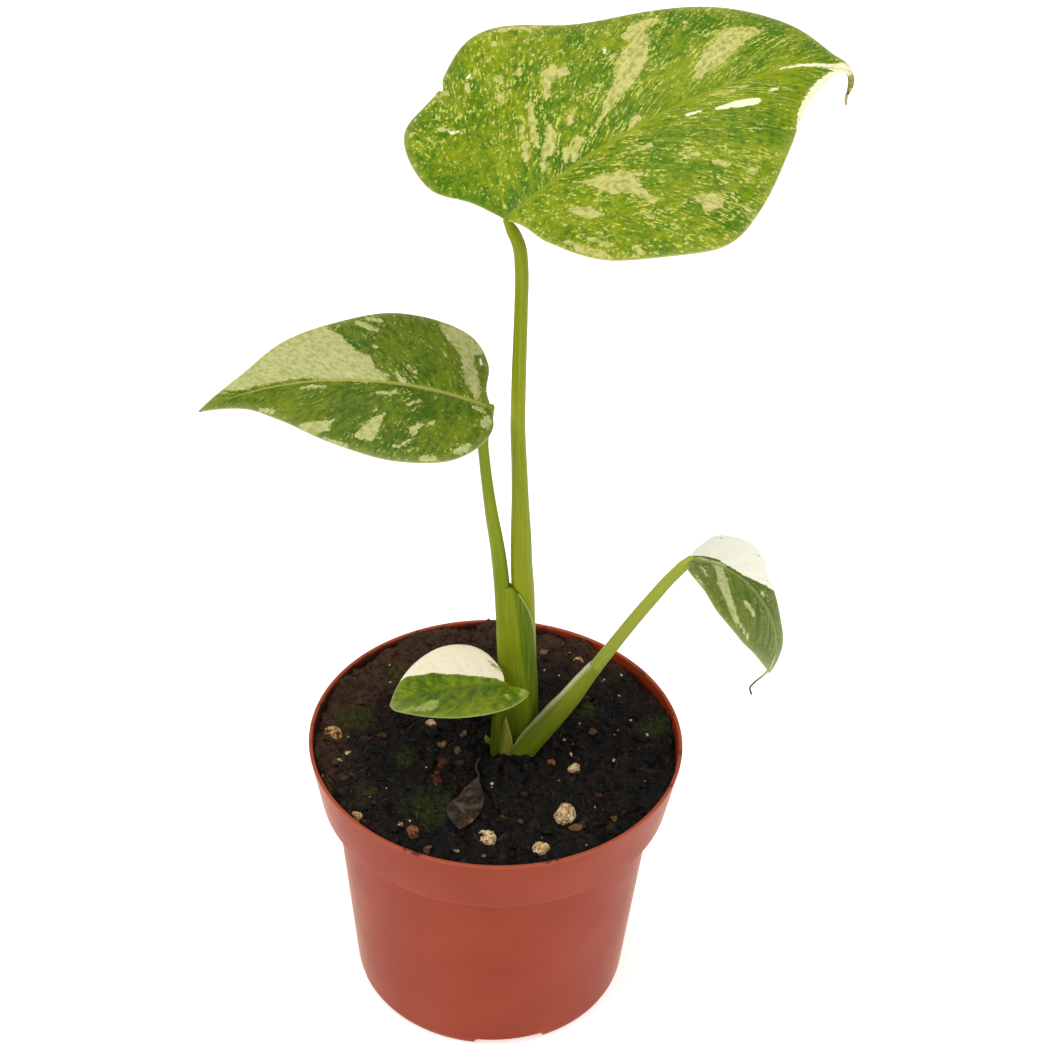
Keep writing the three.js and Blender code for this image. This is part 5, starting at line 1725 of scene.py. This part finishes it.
STALK_3 = (
    (8.6, -1.9, 87.8, 2.2), (12.6, -1.8, 94.7, 2.2), (18.5, -1.5, 104.1, 2.2), (23.7, -1.2, 112.9, 2.15),
    (29.5, -0.8, 124.5, 2.1), (36.1, -0.3, 136, 2), (42.2, 0.2, 146.3, 1.95), (46.3, 0.6, 152.7, 1.9),
    (50.6, 1, 159.3, 1.8), (57, 1.7, 167.5, 1.7),
)
STALK_4 = ((0, -2.3, 87.8, 1.6), (-0.2, -2.9, 97, 1.55), (0.2, -4.2, 108, 1.45), (1, -5.8, 116, 1.35),
           (2.4, -7.7, 123.7, 1.3))

STALKS = (
    Stalk("leaf_stalk_1", STALK_1, StalkSkin("stalk_skin_1", "#89930f", "#828b0e", "#a5a82c", "#66740f")),
    Stalk("leaf_stalk_2", STALK_2,
          StalkSkin("stalk_skin_2", "#6f800c", "#7f8c12", "#a3a52e", "#4c6608", edge="#a6ad5c"),
          Wrap(STALK_1, STALK_2, ((-180, 154.5), (-135, 154), (-103, 152.5), (-57, 145.5), (-36, 135),
                                  (-25, 112), (-6, 98), (40, 98), (70, 116), (105, 136), (140, 149),
                                  (180, 154.5)))),
    Stalk("leaf_stalk_3", STALK_3,
          StalkSkin("stalk_skin_3", "#66760a", "#b0b548", "#949c2c", "#5f6c11", edge="#cdc39a"),
          Trough(((0, 7.2, 3.6), (0.3, 7.9, 3.7), (0.5, 7.7, 3.5), (0.78, 6.4, 2.9), (1, 4.6, 2.2)))),
    # Stalk 4's colours are painted darker green as painted shade
    Stalk("leaf_stalk_4", STALK_4, StalkSkin("stalk_skin_4", "#43560d", "#62730f", "#7a8623", "#43560d")),
)


# Leaves


LEAF_COLOURS = (
    BladeFinish("#447006", "#88970c", "#c6c75a", "#c9c274", "#a1a44c", "#f8f5cc", "#e0dea0", "#8b9a18",
                0.455, 0.375, 3),
    BladeFinish("#3f5d0e", "#6f8016", "#abae56", "#bbbb7f", "#a3a75c", "#f4edcc", "#d8d5a2", "#a2a34a",
                0.42, 0.352, 1.5),
    BladeFinish("#4e6718", "#727d2c", "#a3a95c", "#bfc184", "#a8ad70", "#fffdec", "#fff6dc", "#8c954a",
                0.41, 0.34),
    BladeFinish("#47650c", "#83931c", "#95a33a", "#a3b056", "#8f9f44", "#fff2d4", "#f8e9c8", "#677d16",
                0.39, 0.32),
)

LEAVES = (
    Blade("leaf_blade_1_lamina", ("leaf_blade_1",), (-1.5, 2.1, 278.1), 122, 11, 41.5, (-36, -33), 27.5, 12.5,
          23.5, (97, 12),
          Half((15, -19), (-9, -55), (3, 60, -0.13),
               ((0, 0), (-5.5, 11.5), (-14, 26), (-10.5, 51), (14.5, 58.5), (45, 51), (71.5, 34.5),
                (102.5, 18.5), (111, 5), (122, 0))),
          Half((14.5, -22), (-3.5, -8), (-2.2, 60, 0.25),
               ((0, 0), (4, 9.5), (8, 23), (20, 43.5), (38.5, 50.5), (58.5, 39.5), (77, 24.5), (90, 12.5),
                (108.5, 1.5), (122, 0))),
          rows=250, columns=88, vein_spread=5, tip_roll=1.1, marks=TOP_MARKS, notches=((1, 3, 4, 0.9),),
          thread=((92.8, 44.8, 299.6, 0.5), (92.7, 44.7, 298, 0.42), (93, 44.8, 296.6, 0.3))),
    Blade("leaf_blade_2_lamina", ("leaf_blade_2",), (-4.2, 0.6, 219.3), 87, 180, 22.5, (-47.5, -4), 3, -10.5,
          -10.5, (3, 6),
          Half((3.5, -1), (-10, 2), (-0.4, 60, 0),
               ((0, 0), (-1.5, 8.5), (2, 18.5), (10.5, 27), (27.5, 30), (45.5, 24), (61.5, 13), (71.5, 6),
                (87, 0))),
          Half((-2, 6), (-7.5, 0), (0.4, 60, 0),
               ((0, 0), (2, 6.5), (2.5, 18.5), (8.5, 28.5), (29, 30), (46.5, 23), (61, 16), (72, 7.5),
                (87, 0))),
          rows=210, columns=62, thickness=0.45, vein_spacing=7, marks=SECOND_MARKS),
    Blade("leaf_blade_3_lamina", ("leaf_blade_3",), (57, 1.7, 167.5), 54, -14, 10, (-124.5, 6), -29, -11.5,
          7.5, (0, 4),
          Half((-1.5, -2), (5, 0), (0.5, 60, 0),
               ((0, 0), (-0.5, 5.5), (1, 12.5), (4.5, 20.5), (16.5, 21.5), (24, 12.5), (35, 5.8), (45, 4.6),
                (54, 0))),
          Half((1.5, -9.5), (-18.5, -2.5), (0.3, 60, 0),
               ((0, 0), (0, 5.5), (2.5, 10.5), (7.5, 16), (15.5, 21.5), (28, 18.8), (38.5, 11.8), (47, 5.5),
                (54, 0))),
          rows=160, columns=46, thickness=0.4, rib=0.9, vein_spacing=5, marks=THIRD_MARKS,
          thread=((83.2, -9, 134.5, 0.42), (81.5, -9, 132, 0.34), (79.3, -9, 129.4, 0.28),
                  (78.1, -9, 127.1, 0.28), (78.8, -9, 124.6, 0.32))),
    Blade("leaf_blade_4_lamina", ("leaf_blade_4",), (2.4, -7.7, 123.7), 40, 185, 1.5, (-41, -3.5), -23, -4,
          -10.5, (0, 4),
          Half((12.5, -0.5), (-5, 0), (0.3, 60, 0),
               ((0, 0), (-7, 4.5), (-2.5, 12), (4.5, 16), (12, 16.5), (20.5, 14), (29.5, 9), (36, 4.5),
                (40, 0))),
          Half((5, 10), (-8, 1), (0.3, 60, 0),
               ((0, 0), (0.5, 4.5), (2.5, 9), (6.5, 13.5), (12, 16), (21.5, 16), (31, 11.5), (37, 5.5),
                (40, 0))),
          rows=140, columns=42, thickness=0.4, rib=0.9, groove=0.15, vein_spacing=4.5, marks=FOURTH_MARKS),
)


@dataclass(frozen=True)
class PaperyBract:
    """A dying scale leaf: to the eye, thin cream to straw tissue, finely veined and dry at the tip."""

    fresh: str = "#6f7a10"
    straw: str = "#949634"
    dry: str = "#c2b97c"

    VEIN_WIDTH = 0.35

    def material(self, length: float) -> Material:
        """Make the finish for a bract of this length."""
        material, tree, add = bare_material("papery_bract")
        place = add("Attribute", attribute_name="blade_place").outputs["Vector"]
        flat = add("SeparateXYZ", place)
        along = add("VectorMath", place, (1 / 8, 1 / self.VEIN_WIDTH, 0), operation="MULTIPLY")
        veins = add("TexNoise", {"Vector": along, "Scale": 1, "Detail": 2})
        edge = add("Attribute", attribute_name="blade_edge").outputs["Fac"]
        edge = add("MapRange", edge, 0.7, 0.2, 0, 0.7)
        tip = add("MapRange", flat.outputs["X"], 0.86 * length, length)
        share = add("Math", tip, edge, operation="MAXIMUM")
        colour = paint_over(tree, self.fresh, (veins, 0.35, 0.65, self.straw), (share, 0, 1, self.dry))
        bump = add("Bump", {"Strength": 0.4, "Distance": 0.1 * MM, "Height": veins})
        finish_surface(tree, {"Base Color": colour, "Roughness": 0.6, "IOR": 1.45, "Normal": bump,
                              "Specular IOR Level": 0.2, "Subsurface Weight": 0.2,
                              "Subsurface Radius": (1.0, 0.9, 0.5), "Subsurface Scale": MM})
        return material


BRACT_HALVES = tuple(
    Half((fold, 0), (-500, 0), (0, 60, 0), outline) for fold, outline in (
        (-10, ((0, 0), (0.4, 2.4), (5, 2.9), (10, 2.1), (18, 0))),
        (-8, ((0, 0), (0.4, 1.2), (4, 1.5), (7, 1), (9.5, 0))))
)
BRACTS = (
    Blade("bract_1_scale", ("bract_1",), (3, -4.1, 87.8), 18, 90, 84, (0, 0), 0, 0, 0, (0, 1),
          BRACT_HALVES[0], BRACT_HALVES[0], rows=50, columns=12, thickness=0.45, rib=0, groove=0),
    Blade("bract_2_scale", ("bract_2",), (-2.4, 0.4, 87.8), 9.5, 60, 86, (30, 0), 0, 0, 0, (0, 1),
          BRACT_HALVES[1], BRACT_HALVES[1], rows=40, columns=12, thickness=0.45, rib=0, groove=0),
)


@dataclass(frozen=True)
class DriedTip:
    """The tip of a blade, dried to a thread: to the eye, dull straw that darkens to its curled end."""

    straw: str = "#c8b48c"
    dark: str = "#3b2a24"

    def material(self) -> Material:
        """Make the finish, by how far each point lies below the thread's start."""
        material, tree, add = bare_material("dried_tip")
        place = add("Attribute", attribute_name="blade_place").outputs["Vector"]
        below = add("SeparateXYZ", place).outputs["Z"]
        colour = paint_over(tree, self.straw, (below, -1, -5, self.dark))
        finish_surface(tree, {"Base Color": colour, "Roughness": 0.7, "IOR": 1.45})
        return material


WITHERED = Blade(
    "withered_leaf_skin", ("withered_leaf",), (-4.9, -16, 1.2), 25.5, 259, 4, (-8, 0), 0, 0, 0, (0, 1),
    Half((4, 0), (10, 0), (20, 17, 0.2),
         ((0, 0), (3, 1), (7, 2.8), (11, 4.5), (15, 4.3), (19, 4), (23, 1.8), (25.5, 0))),
    Half((14, 0), (60, 0), (16, 14, 0.6),
         ((0, 0), (3, 1.1), (6, 1.9), (9, 3), (13, 3.6), (17, 5.6), (20.5, 5.4), (23.5, 2.6), (25.5, 0))),
    rows=90, columns=30, thickness=0.5, rib=0.2, groove=0.1, vein_spacing=3,
    thread=((-5.1, -7.2, 0.9, 0.5), (-5.9, -11, 1.1, 0.55), (-4.9, -16, 1.2, 0.55), (-5.2, -18, 1.2, 0.5)),
)

GRAINS = (
    Grain(1, -53, 2.5, 6.4, 20, Stone.STAINED_PUMICE), Grain(2, 22.5, -30.5, 7.2, 80),
    Grain(3, -1.3, -43, 5.6, 140), Grain(4, 15.3, -47.5, 5.2, 200),
    Grain(5, -41.7, -35, 3.6, 250, Stone.STAINED_PUMICE), Grain(6, -24, -41, 4.4, 300, Stone.BARK),
    Grain(7, 25.3, -10, 4, 30), Grain(8, 17.9, -7.5, 3, 95, Stone.BARK), Grain(9, -21.6, 10.5, 3.2, 160),
    Grain(10, 26.6, 43, 3.6, 220, Stone.STAINED_PUMICE),
)


# Studio


@dataclass(frozen=True)
class SoftLight:
    """A square of even light: where it stands, what it faces, its side in metres and its power in watts."""

    name: str
    place: tuple[float, float, float]
    target: tuple[float, float, float]
    side: float
    power: float
    colour: str = "#ffffff"

    def build(self) -> None:
        """Make the light and turn its -Z towards the target."""
        lamp = bpy.data.lights.new(self.name, "AREA")
        lamp.shape, lamp.size, lamp.energy = "SQUARE", self.side, self.power
        lamp.color = linear(self.colour)[:3]
        made = bpy.data.objects.new(self.name, lamp)
        bpy.context.scene.collection.objects.link(made)
        made.location = self.place
        ahead = Vector(self.target) - Vector(self.place)
        made.rotation_euler = ahead.to_track_quat("-Z", "Y").to_euler()


@dataclass(frozen=True)
class Studio:
    """A white floor under soft light, and the camera where the photographer's was.

    The camera's place is in millimetres, its pitch and roll in degrees, and its focal length in pixels of
    the 1050 pixel frame.
    """

    camera_place: tuple[float, float, float] = (6.8, -486.5, 521.9)
    pitch: float = 35.17
    roll: float = 2.12
    focal_pixels: float = 2000.0
    frame_pixels: float = 1050.0
    sensor: float = 36.0
    floor_side: float = 6.0
    floor_colour: str = "#f0f0ee"
    floor_glow: float = 0.62
    sky_strength: float = 0.45
    lights: tuple[SoftLight, ...] = (
        SoftLight("left", (-1.6, -0.9, 1.5), (0, 0, 0.15), 1.3, 20),
        SoftLight("right", (1.6, -0.8, 1.2), (0, 0, 0.15), 1.3, 13),
        SoftLight("top", (0, 0.1, 2.0), (0, 0, 0.1), 1.5, 13),
    )

    def build(self) -> None:
        """Make the camera, the lights, the sky and the floor."""
        scene = bpy.context.scene
        scene.view_settings.view_transform = "Standard"
        self.build_camera(scene)
        for light in self.lights:
            light.build()
        world = bpy.data.worlds.new("sky")
        scene.world = world
        world.use_nodes = True
        sky = world.node_tree.nodes["Background"]
        sky.inputs["Color"].default_value = (1, 1, 1, 1)
        sky.inputs["Strength"].default_value = self.sky_strength
        self.build_floor()

    def build_camera(self, scene: Scene) -> None:
        """Place the camera: pitched down from level along +Y, then rolled about its own axis."""
        lens = bpy.data.cameras.new("camera")
        lens.sensor_width = self.sensor
        lens.lens = self.focal_pixels / self.frame_pixels * self.sensor
        lens.clip_start, lens.clip_end = 0.01, 50
        pitch, roll = self.pitch * DEGREE, self.roll * DEGREE
        ahead = Vector((0, math.cos(pitch), -math.sin(pitch)))
        upright = Vector((0, math.sin(pitch), math.cos(pitch)))
        right = math.cos(roll) * Vector((1, 0, 0)) + math.sin(roll) * upright
        upright = math.cos(roll) * upright - math.sin(roll) * Vector((1, 0, 0))
        turn = Matrix((right, upright, -ahead)).transposed()
        camera = bpy.data.objects.new("camera", lens)
        camera.matrix_world = Matrix.Translation(Vector(self.camera_place) * MM) @ turn.to_4x4()
        scene.collection.objects.link(camera)
        scene.camera = camera

    def build_floor(self) -> None:
        """Lay a plain floor: a white table lit from below, to the eye even and pale, with hardly a shadow."""
        half = self.floor_side / 2 / MM
        surface = Surface()
        surface.add(np.array([(-half, -half, 0), (half, -half, 0), (half, half, 0), (-half, half, 0.0)]),
                    [np.arange(4)[None]])
        material, tree, _ = bare_material("lit_table")
        finish_surface(tree, {"Base Color": self.floor_colour, "Roughness": 0.9,
                              "Emission Color": self.floor_colour, "Emission Strength": self.floor_glow})
        floor = surface.build("floor", [material])
        floor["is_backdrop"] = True


def main() -> None:
    """Build the studio and the plant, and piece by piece."""
    logging.basicConfig(level=logging.INFO, format="%(name)s %(message)s", stream=sys.stdout)
    Studio().build()
    Pot().build()
    soil = SoilBed()
    soil.build()
    stones = {stone: stone.value.material() for stone in Stone}
    for grain in GRAINS:
        grain.build(soil, stones[grain.stone])
    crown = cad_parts["crown_with_roots"]
    crown.data.materials.clear()
    crown.data.materials.append(CORKY_CROWN.material())
    for stalk in STALKS:
        stalk.build()
    for blade, colours in zip(LEAVES, LEAF_COLOURS):
        skin = VariegatedBlade(blade.name, blade.length, blade.vein_spread, colours)
        dried = [DriedTip().material()] if blade.thread else []
        blade.build("leaf_blade", [skin.material(), skin.material(underside=True), *dried])
    for blade in BRACTS:
        blade.build("bract", [PaperyBract().material(blade.length)] * 2)
    WITHERED.build("withered_leaf", [WITHERED_TISSUE.material()] * 3, soil.crumpled)
    bpy.context.view_layer.update()
    boxes = {"cad": CAD_BOX, "visual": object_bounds()}
    {name: [[float(v) for v in corner] for corner in box] for name, box in boxes.items()}


if __name__ == "__main__":
    main()
